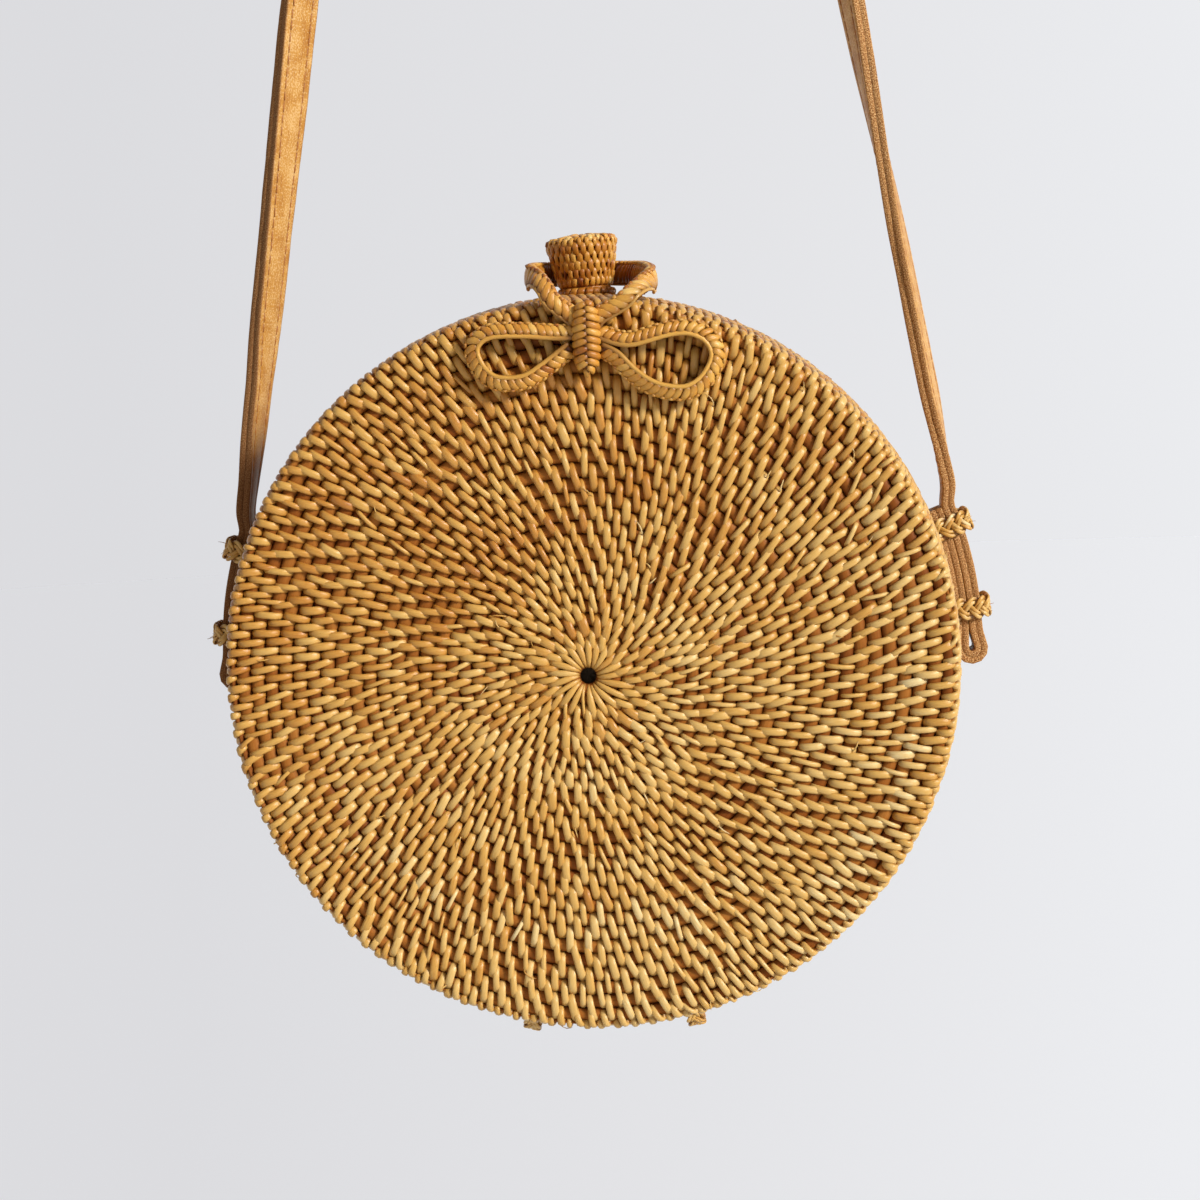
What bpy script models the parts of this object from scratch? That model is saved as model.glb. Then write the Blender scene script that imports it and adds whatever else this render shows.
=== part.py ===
"""A round rattan crossbody bag, hung by its strap as it is carried or stored.

Two woven half shells are tied together at the bottom and open like a clam. A plaited loop on the front half hooks
over a woven knob on the back half, under a small bow. A leather strap of two layers is folded and tied to the back
half on both sides. Metres, +Z up, the front faces -Y. The origin is the underside of the strap's highest point.
"""

import math

import bmesh
import bpy
from mathutils import Vector

# Clearances
FIT = 0.0003  # between pieces that touch on the real bag
OVERRUN = 0.004  # how far a cutter runs past what it cuts
WELD = 0.00001  # points nearer than this are one

# Woven half shells
BAG_RADIUS = 0.100  # at the edge of the front and back faces
WALL_BULGE = 0.002  # how much wider the wall is at the seam
SHELL_DEPTH = 0.0384  # from the seam to a face
WEAVE_THICKNESS = 0.0045
RIM_ROUND = 0.0015
CENTRE_HOLE_RADIUS = 0.002  # the eye that the coil starts from
COIL_RIBS = 10  # ribs of the coiled face from the eye to the rim
COIL_GROOVE_WIDTH = 0.0042
COIL_GROOVE_DEPTH = 0.002
LINING_THICKNESS = 0.0008
LINING_MARGIN = 0.006  # the lining is sewn in this far behind the mouth

# Leather strap
STRAP_WIDTH = 0.0105
STRAP_LAYER = 0.00175
STRAP_SET_BACK = 0.0095  # its middle line lies this far behind the seam
STRAP_DROP = 0.500  # from its highest point to where it bends, above the upper ties
BEND_CLEAR = 0.0016  # how far outside the faces' edge it bends
HANG_RADIUS = 0.018  # of the hook or fold that it hangs over
FOLD_RADIUS = 0.0024  # of the folded end, at the middle of the leather
FOLD_DROP = 0.0085  # from the lower tie's edge to the fold's middle
TAIL_SHOW = 0.0023  # how far the tail stands out above the upper tie

# Ties that hold the strap
UPPER_TIE_RISE = 0.0325  # above the middle of the face
LOWER_TIE_RISE = 0.0084
TIE_HEIGHT = 0.0065  # along the strap
TIE_BAND = 0.0027
TIE_SEAT = 0.003  # how deep a tie is sewn into the weave

# Ties that hinge the two halves
HINGE_TIE_REACH = 0.0235  # from the middle line to each side
HINGE_TIE_WIDTH = 0.0056  # along the seam
HINGE_TIE_INSIDE = 0.0056  # across the seam, between the legs
HINGE_TIE_SAG = 0.0090  # how far the loop hangs clear of the wall

# Knob and its base
KNOB_SET_BACK = 0.0123
KNOB_HEIGHT = 0.0149
KNOB_TOP_RADIUS = 0.0105
KNOB_BASE_RADIUS = 0.0078
KNOB_ROUND = 0.0016
KNOB_CROWN = 0.0008
KNOB_STEM_RADIUS = 0.003
BASE_RING_RADIUS = 0.0090
BASE_RING_HEIGHT = 0.0014
BASE_RING_ROUND = 0.0006

# Bow and closing loop, plaited
PLAIT_RADIUS = 0.0019
BOW_SIDE_SET = 0.0034  # the knot's middle, to the right of the middle line
BOW_DROP = 0.0102  # the knot's middle, below the edge of the face
KNOT_WIDTH = 0.0075
KNOT_HEIGHT = 0.0190
KNOT_DEPTH = 0.0062
KNOT_OUTLINE_SHARES = ((0, 0.5), (0.24, 0.5), (0.46, 0.31), (0.5, 0), (0.46, -0.31), (0.24, -0.5), (0, -0.5))
LOOP_BACK_RISE = 0.0037  # above where it would lie on the wall, behind the knob
LOOP_START_DROP = 0.0040  # its legs leave the knot's sides this far below its hinge
# The closing loop's route on each side: from the middle line, back from the front face, and up from where it would lie on
# the wall. Round the knob it is measured back from the seam instead.
LEFT_LOOP_FRONT = (
    (-0.0056, -0.0022, -0.0048), (-0.0073, -0.0009, -0.0018), (-0.0092, 0.0024, 0.0010), (-0.0112, 0.0074, 0.0024),
    (-0.0125, 0.0139, 0.0028), (-0.0131, 0.0234, 0.0030),
)  # fmt: skip
LEFT_LOOP_BACK = ((-0.0132, -0.0030, 0.0032), (-0.0127, 0.0080, 0.0034), (-0.0099, 0.0189, 0.0036))
RIGHT_LOOP_FRONT = (
    (0.0132, -0.0022, -0.0060), (0.0154, -0.0018, -0.0040), (0.0175, 0.0009, -0.0018), (0.0194, 0.0049, 0.0000),
    (0.0206, 0.0104, 0.0010), (0.0210, 0.0164, 0.0016), (0.0202, 0.0254, 0.0022),
)  # fmt: skip
RIGHT_LOOP_BACK = ((0.0184, -0.0030, 0.0027), (0.0158, 0.0080, 0.0032), (0.0108, 0.0187, 0.0036))
LEFT_BOW_LENGTH = 0.0259
LEFT_BOW_HEIGHT = 0.0130
RIGHT_BOW_LENGTH = 0.0303
RIGHT_BOW_HEIGHT = 0.0166

# Facets
ROUND_STEPS = 60
WALL_ROWS = 5
SMALL_STEPS = 20
ARCH_STEPS = 10
RUN_STEPS = 15
FOLD_STEPS = 8

# Twist of the strap in degrees, counter-clockwise seen from above, at these shares of each straight run
TWIST_PLACE_SHARES = (0.0, 0.06, 0.13, 0.30, 0.62, 1.0)
LEFT_TWISTS = (0.0, -14.0, -28.0, -45.0, -27.0, 0.0)
RIGHT_TWISTS = (0.0, -16.0, -14.0, 21.0, 14.0, 0.0)
TAB_ANGLES = (8.0, 30.0, 52.0, 72.0)  # the round end of the strap at its bend, in degrees from its lowest point

# Outline of a bow loop: along its length and across it, as shares of both, from the knot and back
LEFT_BOW_SHARES = (
    (0.00, 0.14), (0.17, 0.12), (0.50, 0.17), (0.83, 0.17), (0.98, -0.02), (1.00, -0.28),
    (0.92, -0.62), (0.77, -0.83), (0.50, -0.82), (0.25, -0.55), (0.03, -0.26),
)  # fmt: skip
RIGHT_BOW_SHARES = (
    (0.00, 0.10), (0.15, -0.01), (0.28, -0.07), (0.43, -0.02), (0.62, 0.06), (0.79, 0.06), (0.93, -0.07),
    (1.00, -0.28), (0.99, -0.51), (0.89, -0.79), (0.75, -0.94), (0.59, -0.93), (0.43, -0.83), (0.27, -0.62),
    (0.12, -0.37), (0.00, -0.25),
)  # fmt: skip

strap_thickness = 2 * STRAP_LAYER + FIT
wall_top_radius = BAG_RADIUS + WALL_BULGE
tail_radius = wall_top_radius + FIT + strap_thickness / 2
run_radius = tail_radius + strap_thickness + FIT
bend_room = STRAP_WIDTH / 2 + 2 * FIT
end_rise = UPPER_TIE_RISE + TIE_HEIGHT / 2 + TAIL_SHOW
bend_rise = end_rise + bend_room
bag_z = -STRAP_DROP - bend_rise
bow_z = bag_z + BAG_RADIUS - BOW_DROP
seam_y = -STRAP_SET_BACK
plait_front_y = seam_y - SHELL_DEPTH - FIT - PLAIT_RADIUS
loop_reach = KNOB_SET_BACK + KNOB_TOP_RADIUS + FIT + PLAIT_RADIUS  # behind the seam

pivots = {
    "bag_pivot": Vector((0, 0, -STRAP_DROP)),
    "lid_pivot": Vector((0, seam_y, bag_z - wall_top_radius)),
    "loop_pivot": Vector((BOW_SIDE_SET, plait_front_y, bow_z + KNOT_HEIGHT / 2 + FIT)),
}
pivot_parents = {"lid_pivot": "bag_pivot", "loop_pivot": "lid_pivot"}

STRAW = (0.62, 0.40, 0.16)
DARK_STRAW = (0.45, 0.24, 0.08)
LEATHER = (0.58, 0.32, 0.12)
COTTON = (0.72, 0.62, 0.46)


def clear_scene():
    for old in list(bpy.data.objects):
        bpy.data.objects.remove(old)


def new_collection(name):
    collection = bpy.data.collections.new(name)
    bpy.context.scene.collection.children.link(collection)
    return collection


def material(name, colour, roughness):
    finish = bpy.data.materials.new(name)
    finish.use_nodes = True
    shader = finish.node_tree.nodes["Principled BSDF"]
    shader.inputs["Base Color"].default_value = (*colour, 1)
    shader.inputs["Roughness"].default_value = roughness
    shader.inputs["Metallic"].default_value = 0
    return finish


def pivot(name):
    """The empty on a joint's axis. It is made once, under the pivot that carries it."""
    if name in bpy.data.objects:
        return bpy.data.objects[name]
    empty = bpy.data.objects.new(name, None)
    parts.objects.link(empty)
    place = pivots[name].copy()
    if name in pivot_parents:
        empty.parent = pivot(pivot_parents[name])
        place -= pivots[pivot_parents[name]]
    empty.location = place
    return empty


def piece(name, data, colour, roughness, carried_by=None, at=(0, 0, 0), turn=(0, 0, 0)):
    """One solid of the bag, at a world place, hung on the pivot that moves it."""
    made = bpy.data.objects.new(name, data)
    parts.objects.link(made)
    made.location = at
    made.rotation_euler = turn
    if carried_by:
        made.parent = pivot(carried_by)
        made.location = Vector(at) - pivots[carried_by]
    data.materials.append(material(name, colour, roughness))
    return made


def smooth(made, angle=35.0):
    made.data.shade_smooth()
    made.data.set_sharp_from_angle(angle=math.radians(angle))


def profile_mesh(name, points, closed):
    """An outline in the XZ plane, for a Screw about Z."""
    mesh = bpy.data.meshes.new(name)
    edges = [(i, i + 1) for i in range(len(points) - 1)]
    if closed:
        edges.append((len(points) - 1, 0))
    mesh.from_pydata([(r, 0, z) for r, z in points], edges, [])
    return mesh


def turned(name, points, closed, colour, roughness, steps=ROUND_STEPS, **place):
    made = piece(name, profile_mesh(name, points, closed), colour, roughness, **place)
    screw = made.modifiers.new("turned", "SCREW")
    screw.axis = "Z"
    screw.steps = screw.render_steps = steps
    screw.use_merge_vertices = True
    screw.merge_threshold = WELD
    screw.use_smooth_shade = True
    return made


def wall_radius(depth):
    """The wall's outer radius at this depth from the seam."""
    return BAG_RADIUS + WALL_BULGE * (1 - (depth / SHELL_DEPTH) ** 2)


def half_shell(prefix, turn_x, carried_by):
    """One face, its wall and its lining, each turned about the bag's middle axis. Returns the wall."""
    place = {"carried_by": carried_by, "at": (0, seam_y, bag_z), "turn": (turn_x, 0, 0)}
    panel_back = SHELL_DEPTH - WEAVE_THICKNESS
    panel = [
        (wall_radius(SHELL_DEPTH) - RIM_ROUND, SHELL_DEPTH),
        (wall_radius(SHELL_DEPTH - RIM_ROUND / 3) - RIM_ROUND / 3, SHELL_DEPTH - RIM_ROUND / 3),
        (wall_radius(SHELL_DEPTH - RIM_ROUND), SHELL_DEPTH - RIM_ROUND),
        (wall_radius(panel_back), panel_back),
        (CENTRE_HOLE_RADIUS, panel_back),
        (CENTRE_HOLE_RADIUS, SHELL_DEPTH),
    ]
    rib = (panel[0][0] - CENTRE_HOLE_RADIUS) / COIL_RIBS
    for i in range(1, COIL_RIBS):
        groove = CENTRE_HOLE_RADIUS + rib * i
        panel += [
            (groove - COIL_GROOVE_WIDTH / 2, SHELL_DEPTH),
            (groove, SHELL_DEPTH - COIL_GROOVE_DEPTH),
            (groove + COIL_GROOVE_WIDTH / 2, SHELL_DEPTH),
        ]
    smooth(turned(prefix + "_face_weave", panel, True, STRAW, 0.55, **place))

    wall_end = panel_back - FIT
    wall_start = FIT / 2
    depths = [wall_end + (wall_start - wall_end) * i / WALL_ROWS for i in range(WALL_ROWS + 1)]
    outside = [(wall_radius(d), d) for d in depths]
    inside = [(wall_radius(d) - WEAVE_THICKNESS, d) for d in reversed(depths)]
    wall = turned(prefix + "_wall_weave", outside + inside, True, STRAW, 0.55, **place)

    floor = panel_back - FIT
    lining_depths = [floor + (LINING_MARGIN - floor) * i / 2 for i in range(3)]
    skin = [(wall_radius(d) - WEAVE_THICKNESS - FIT, d) for d in lining_depths]
    inner_skin = [(r - LINING_THICKNESS, d) for r, d in reversed(skin)]
    inner_skin[-1] = (inner_skin[-1][0], floor - LINING_THICKNESS)
    cup = [(0, floor), *skin, *inner_skin, (0, floor - LINING_THICKNESS)]
    turned(prefix + "_lining", cup, False, COTTON, 0.9, **place)
    return wall


def cutter_box(name, low, high, at, turn):
    mesh = bpy.data.meshes.new(name)
    cube = bmesh.new()
    bmesh.ops.create_cube(cube, size=1)
    for vertex in cube.verts:
        vertex.co = [lo + (c + 0.5) * (hi - lo) for c, lo, hi in zip(vertex.co, low, high)]
    cube.to_mesh(mesh)
    cube.free()
    return cutter(name, mesh, at, turn)


def cutter(name, mesh, at, turn=(0, 0, 0)):
    made = bpy.data.objects.new(name, mesh)
    cutters.objects.link(made)
    made.location = at
    made.rotation_euler = turn
    made.hide_render = True
    made.display_type = "WIRE"
    return made


def cut(made, tools):
    for tool in tools:
        boolean = made.modifiers.new(tool.name, "BOOLEAN")
        boolean.operation = "DIFFERENCE"
        boolean.object = tool


def tie(name, angle, middle_y, inside, reach, height, colour, carried_by):
    """A plaited tie: two legs sewn into the weave and a bar across, square to the wall at this angle.

    Returns a cutter for the pocket of each leg, the front one first."""
    half, outer = inside / 2, inside / 2 + TIE_BAND
    top, corner = reach + TIE_BAND, TIE_BAND / 2
    outline = [
        (-TIE_SEAT, -outer), (top - corner, -outer), (top, corner - outer), (top, outer - corner),
        (top - corner, outer), (-TIE_SEAT, outer), (-TIE_SEAT, half), (reach, half), (reach, -half),
        (-TIE_SEAT, -half),
    ]  # fmt: skip
    flat = bpy.data.curves.new(name, "CURVE")
    flat.dimensions = "2D"
    flat.fill_mode = "BOTH"
    flat.extrude = height / 2
    spline = flat.splines.new("POLY")
    spline.points.add(len(outline) - 1)
    spline.points.foreach_set("co", [c for x, y in outline for c in (x, y, 0, 1)])
    spline.use_cyclic_u = True
    surface = wall_top_radius
    at = (surface * math.cos(angle), middle_y, bag_z + surface * math.sin(angle))
    turn = (0, -angle, 0)
    piece(name, flat, colour, 0.6, carried_by=carried_by, at=at, turn=turn)
    pockets = []
    for label, low_y, high_y in (("front", -outer - FIT, FIT - half), ("back", half - FIT, outer + FIT)):
        low = (-TIE_SEAT - FIT, low_y, -height / 2 - FIT)
        high = (OVERRUN, high_y, height / 2 + FIT)
        pockets.append(cutter_box(f"{name}_{label}_pocket", low, high, at, turn))
    return pockets


def strap_ties():
    """The four ties that hold the strap against the back half, and their pockets."""
    pockets = []
    reach = 2 * strap_thickness + 3 * FIT
    for side in ("left", "right"):
        for level, rise in (("upper", UPPER_TIE_RISE), ("lower", LOWER_TIE_RISE)):
            angle = math.asin(rise / run_radius)
            if side == "left":
                angle = math.pi - angle
            pockets += tie(
                f"{level}_strap_tie_{side}", angle, 0, STRAP_WIDTH + 2 * FIT, reach, TIE_HEIGHT, STRAW, "bag_pivot"
            )
    return pockets


def hinge_ties():
    """The two ties that hinge the halves at the bottom. Returns the lid's pockets and the back half's."""
    lid_pockets, back_pockets = [], []
    for side, sign in (("left", -1), ("right", 1)):
        angle = -math.pi / 2 + sign * math.asin(HINGE_TIE_REACH / wall_top_radius)
        front, back = tie(
            "hinge_tie_" + side, angle, seam_y, HINGE_TIE_INSIDE, HINGE_TIE_SAG, HINGE_TIE_WIDTH, STRAW, "bag_pivot"
        )
        lid_pockets.append(front)
        back_pockets.append(back)
    return lid_pockets, back_pockets


def knob():
    """The woven knob, its stem through the wall and the wrapped ring under it. Returns the stem's cutter."""
    seat = Vector((0, seam_y + KNOB_SET_BACK, bag_z + wall_radius(KNOB_SET_BACK)))
    foot = FIT + BASE_RING_HEIGHT + FIT
    head = foot + KNOB_HEIGHT
    outline = [
        (0, head + KNOB_CROWN),
        (KNOB_TOP_RADIUS / 2, head + KNOB_CROWN * 3 / 4),
        (KNOB_TOP_RADIUS - KNOB_ROUND, head),
        (KNOB_TOP_RADIUS - KNOB_ROUND / 4, head - KNOB_ROUND / 3),
        (KNOB_TOP_RADIUS, head - KNOB_ROUND),
        (KNOB_BASE_RADIUS, foot),
        (KNOB_STEM_RADIUS, foot),
        (KNOB_STEM_RADIUS, -WEAVE_THICKNESS),
        (0, -WEAVE_THICKNESS),
    ]
    smooth(turned("knob", outline, False, DARK_STRAW, 0.5, SMALL_STEPS, carried_by="bag_pivot", at=seat))
    ring_low, ring_high = FIT, FIT + BASE_RING_HEIGHT
    hole = KNOB_STEM_RADIUS + FIT
    ring = [
        (BASE_RING_RADIUS - BASE_RING_ROUND, ring_high),
        (BASE_RING_RADIUS, ring_high - BASE_RING_ROUND),
        (BASE_RING_RADIUS, ring_low + BASE_RING_ROUND),
        (BASE_RING_RADIUS - BASE_RING_ROUND, ring_low),
        (hole, ring_low),
        (hole, ring_high),
    ]
    smooth(turned("knob_base_ring", ring, True, DARK_STRAW, 0.6, SMALL_STEPS, carried_by="bag_pivot", at=seat))
    mesh = bpy.data.meshes.new("stem_hole")
    hole_shape = bmesh.new()
    bmesh.ops.create_cone(
        hole_shape, cap_ends=True, segments=SMALL_STEPS, radius1=hole, radius2=hole,
        depth=2 * (WEAVE_THICKNESS + OVERRUN),
    )  # fmt: skip
    hole_shape.to_mesh(mesh)
    hole_shape.free()
    return cutter("stem_hole", mesh, seat)


def tube(name, points, radius, colour, carried_by, through=0):
    """A plait's solid: a round tube through these world points, smoothed by that many points between each two."""
    curve = bpy.data.curves.new(name, "CURVE")
    curve.dimensions = "3D"
    curve.bevel_depth = radius
    curve.bevel_resolution = 2
    curve.use_fill_caps = True
    route = smooth_route(points, through)
    spline = curve.splines.new("POLY")
    spline.points.add(len(route) - 1)
    origin = pivots[carried_by]
    spline.points.foreach_set("co", [c for p in route for c in (*(p - origin), 1)])
    return piece(name, curve, colour, 0.55, carried_by=carried_by, at=origin)


def smooth_route(points, through):
    """A Catmull-Rom curve through the points."""
    points = [Vector(p) for p in points]
    ends = [2 * points[0] - points[1], *points, 2 * points[-1] - points[-2]]
    route = []
    for a, b, c, d in zip(ends, ends[1:], ends[2:], ends[3:]):
        for i in range(through + 1):
            t = i / (through + 1)
            route.append(
                0.5 * (2 * b + (c - a) * t + (2 * a - 5 * b + 4 * c - d) * t**2 + (3 * b - a - 3 * c + d) * t**3)
            )
    return [*route, points[-1]]


def bow():
    """The bow on the front face: a knot and two loops, all of one plait."""
    middle = Vector((BOW_SIDE_SET, seam_y - SHELL_DEPTH - FIT - KNOT_DEPTH / 2, bow_z))
    outline = [(KNOT_WIDTH * across, KNOT_HEIGHT * up) for across, up in KNOT_OUTLINE_SHARES]
    knot = turned("bow_knot", outline, False, DARK_STRAW, 0.55, SMALL_STEPS, carried_by="lid_pivot", at=middle)
    knot.scale = (1, KNOT_DEPTH / KNOT_WIDTH, 1)
    start = KNOT_WIDTH / 2 + PLAIT_RADIUS / 2
    for side, sign, length, height, shares in (
        ("left", -1, LEFT_BOW_LENGTH, LEFT_BOW_HEIGHT, LEFT_BOW_SHARES),
        ("right", 1, RIGHT_BOW_LENGTH, RIGHT_BOW_HEIGHT, RIGHT_BOW_SHARES),
    ):
        points = []
        for along, across in shares:
            x = BOW_SIDE_SET + sign * (start + along * length)
            points.append((x, plait_front_y, bow_z + across * height))
        tube("bow_loop_" + side, points, PLAIT_RADIUS, DARK_STRAW, "lid_pivot", through=1)


def closing_loop():
    """The plaited loop from the knot, over the front rim and round the knob."""
    leg = KNOT_WIDTH / 2 + FIT + PLAIT_RADIUS
    foot = pivots["loop_pivot"]
    low = bag_z + wall_top_radius + FIT + PLAIT_RADIUS
    back = (0, seam_y + loop_reach, low + LOOP_BACK_RISE)
    sides = []
    face_y = seam_y - SHELL_DEPTH
    for sign, front, round_knob in ((-1, LEFT_LOOP_FRONT, LEFT_LOOP_BACK), (1, RIGHT_LOOP_FRONT, RIGHT_LOOP_BACK)):
        side = [foot + Vector((sign * leg, 0, -LOOP_START_DROP))]
        side += [Vector((across, face_y + along, low + rise)) for across, along, rise in front]
        side += [Vector((across, seam_y + along, low + rise)) for across, along, rise in round_knob]
        sides.append(side)
    left, right = sides
    tube("closing_loop", [*left, back, *right[::-1]], PLAIT_RADIUS, DARK_STRAW, "loop_pivot", through=1)


def ribbon(name, rows, thickness, offset, colour, carried_by=None):
    """A flat band: rows of (middle, half width, direction across), made solid to one side or about its middle."""
    origin = pivots[carried_by] if carried_by else Vector()
    mesh = bpy.data.meshes.new(name)
    band = bmesh.new()
    edges = []
    for middle, half, across in rows:
        ends = [band.verts.new(middle - origin + sign * half * across) for sign in (-1, 1)]
        edges.append(ends)
    for (a, b), (c, d) in zip(edges, edges[1:]):
        band.faces.new((a, b, d, c))
    band.to_mesh(mesh)
    band.free()
    made = piece(name, mesh, colour, 0.6, carried_by=carried_by, at=origin)
    solid = made.modifiers.new("leather", "SOLIDIFY")
    solid.thickness = thickness
    solid.offset = offset
    solid.use_even_offset = True
    return made


def twist_at(share, twists):
    """The strap's twist in radians at this share of a run, easing from one stated place to the next."""
    places = TWIST_PLACE_SHARES
    for low, high, a, b in zip(places, places[1:], twists, twists[1:]):
        if share <= high:
            t = (share - low) / (high - low)
            return math.radians(a + (b - a) * t * t * (3 - 2 * t))
    return math.radians(twists[-1])


def strap_rows(shift):
    """Rows of the hanging strap from its left bend over the hook to its right bend, moved outwards by shift."""
    hook = Vector((0, 0, -HANG_RADIUS))
    arch = HANG_RADIUS + strap_thickness / 2
    bend = Vector((BAG_RADIUS + BEND_CLEAR, 0, -STRAP_DROP))
    span = (bend - hook).length
    lean = math.atan2(bend.x, hook.z - bend.z) - math.asin(arch / span)
    run = math.sqrt(span**2 - arch**2)
    rows = []

    def row(sign, from_bend, half, twist):
        tangent = Vector((-sign * math.sin(lean), 0, math.cos(lean)))
        outward = Vector((sign * math.cos(lean), 0, math.sin(lean)))
        across = Vector((0, 1, 0)) * math.cos(twist) - sign * outward * math.sin(twist)
        normal = outward * math.cos(twist) + sign * Vector((0, 1, 0)) * math.sin(twist)
        middle = Vector((sign * bend.x, 0, bend.z)) + tangent * from_bend + normal * shift
        return (middle, half, across)

    for sign, twists in ((-1, LEFT_TWISTS), (1, RIGHT_TWISTS)):
        half = STRAP_WIDTH / 2
        side = [
            row(sign, -half * math.cos(math.radians(a)), half * math.sin(math.radians(a)), 0) for a in TAB_ANGLES
        ]
        for i in range(RUN_STEPS + 1):
            share = i / RUN_STEPS
            side.append(row(sign, run * share, half, twist_at(share, twists)))
        rows.append(side)
    left, right = rows
    over = []
    for i in range(1, ARCH_STEPS):
        angle = math.pi - lean - (math.pi - 2 * lean) * i / ARCH_STEPS
        outward = Vector((math.cos(angle), 0, math.sin(angle)))
        over.append((hook + outward * (arch + shift), STRAP_WIDTH / 2, Vector((0, 1, 0))))
    return left + over + right[::-1]


def strap():
    """The hanging strap's two layers, which lie back to back."""
    ribbon("strap_outer_leather", strap_rows(FIT / 2), STRAP_LAYER, -1, LEATHER)
    ribbon("strap_inner_leather", strap_rows(-FIT / 2), STRAP_LAYER, 1, LEATHER)


def strap_ends():
    """The strap's ends on the back half: down through both ties, round a fold and up again beside the wall."""
    fold_rise = LOWER_TIE_RISE - TIE_HEIGHT / 2 - FOLD_DROP
    fold_middle = tail_radius + FOLD_RADIUS
    top = math.asin(end_rise / run_radius)
    fold = math.asin(fold_rise / fold_middle)
    flare = math.asin((LOWER_TIE_RISE - TIE_HEIGHT / 2) / run_radius)
    for side, sign in (("left", -1), ("right", 1)):
        points = []
        for i in range(FOLD_STEPS + 1):
            angle = top + (flare - top) * i / FOLD_STEPS
            points.append((run_radius * math.cos(angle), run_radius * math.sin(angle)))
        centre = (fold_middle * math.cos(fold), fold_middle * math.sin(fold))
        for i in range(FOLD_STEPS + 1):
            angle = fold - math.pi * i / FOLD_STEPS
            points.append((centre[0] + FOLD_RADIUS * math.cos(angle), centre[1] + FOLD_RADIUS * math.sin(angle)))
        for i in range(1, FOLD_STEPS + 1):
            angle = fold + (top - fold) * i / FOLD_STEPS
            points.append((tail_radius * math.cos(angle), tail_radius * math.sin(angle)))
        rows = [(Vector((sign * x, 0, bag_z + z)), STRAP_WIDTH / 2, Vector((0, 1, 0))) for x, z in points]
        ribbon("strap_end_" + side, rows, strap_thickness, 0, LEATHER, "bag_pivot")


clear_scene()
parts = new_collection("rattan_crossbody_bag")
cutters = new_collection("cutters")
front_wall = half_shell("front", math.pi / 2, "lid_pivot")
back_wall = half_shell("back", -math.pi / 2, "bag_pivot")
lid_pockets, back_pockets = hinge_ties()
cut(front_wall, lid_pockets)
cut(back_wall, back_pockets + strap_ties() + [knob()])
smooth(front_wall)
smooth(back_wall)
bow()
closing_loop()
strap()
strap_ends()
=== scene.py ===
# %% [markdown]
# # A round rattan crossbody bag
# The real bag is basketry: one long rattan core is coiled into a round face and a wall, and grass stitches wrap
# every turn to the one before. Two such halves close like a clam under a woven knob, and a leather strap carries
# them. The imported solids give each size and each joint. They could simply be coloured, but basketry lives from its
# relief, so every stitch here is its own small rounded rod, and only the sizes of the solids are kept.

# %% Load the frame
import math

import bpy
import numpy as np
from mathutils import Matrix, Vector


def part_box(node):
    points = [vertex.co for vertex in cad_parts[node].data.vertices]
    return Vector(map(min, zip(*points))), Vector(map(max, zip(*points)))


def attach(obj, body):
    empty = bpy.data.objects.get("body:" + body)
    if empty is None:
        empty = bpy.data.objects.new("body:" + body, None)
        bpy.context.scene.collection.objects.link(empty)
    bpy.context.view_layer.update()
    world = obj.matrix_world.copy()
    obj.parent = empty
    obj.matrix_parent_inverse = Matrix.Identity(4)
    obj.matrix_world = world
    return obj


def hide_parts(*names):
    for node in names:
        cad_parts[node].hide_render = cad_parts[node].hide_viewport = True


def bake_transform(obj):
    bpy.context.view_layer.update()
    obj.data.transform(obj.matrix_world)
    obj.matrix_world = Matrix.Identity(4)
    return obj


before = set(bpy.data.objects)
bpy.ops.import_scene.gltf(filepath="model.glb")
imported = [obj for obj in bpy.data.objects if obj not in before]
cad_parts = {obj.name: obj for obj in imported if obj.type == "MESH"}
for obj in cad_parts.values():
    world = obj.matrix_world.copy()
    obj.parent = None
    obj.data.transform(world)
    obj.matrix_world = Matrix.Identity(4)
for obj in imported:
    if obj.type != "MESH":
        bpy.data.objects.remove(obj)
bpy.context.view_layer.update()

# %% [markdown]
# ## One set of axes for all the craft work
# Every piece of the bag is measured from the middle of its seam, in millimetres, as a basket maker would. The
# solids say where that point hangs in the room. Working in metres from the hook would be possible too, but then
# each size of a stitch would be lost among zeros.

# %% The middle of the seam
FACE_RADIUS, WALL_BULGE, HALF_DEPTH, WEAVE_THICKNESS = 100.0, 2.0, 38.4, 4.5
SEAM_CLEARANCE = 0.15  # each half stops this far from the seam
face_low, face_high = (np.array(corner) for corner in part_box("back_face_weave"))
wall_high = np.array(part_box("front_wall_weave")[1])
seam_y = wall_high[1] + SEAM_CLEARANCE / 1000
MIDDLE = np.array([(face_low[0] + face_high[0]) / 2, seam_y, (face_low[2] + face_high[2]) / 2])


def in_room(points):
    return np.asarray(points, float) / 1000 + MIDDLE


print("the middle of the seam hangs at", MIDDLE.round(5))

# %% [markdown]
# ## The photographer's place
# The picture was taken from a little to the right of the bag and from above its middle, with a long lens that keeps
# the round face round. The camera could be pointed by eye. Here its three turns and its distance come from lining
# up the rim, the centre hole, the knob and the strap with the picture, so that every piece can be checked against
# it.

# %% The camera
YAW, PITCH, ROLL = (math.radians(a) for a in (3.4129, 6.3909, -2.5469))
DISTANCE, SHIFT_ACROSS, SHIFT_UP = 688.374, -0.5219, -14.8931
LENS, SENSOR = 72, 36


def turn(first, second, angle):
    """A turn that mixes two of the three directions."""
    made = np.eye(3)
    made[first, first] = made[second, second] = math.cos(angle)
    made[first, second], made[second, first] = math.sin(angle), -math.sin(angle)
    return made


def link(made):
    bpy.context.scene.collection.objects.link(made)
    return made


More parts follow.
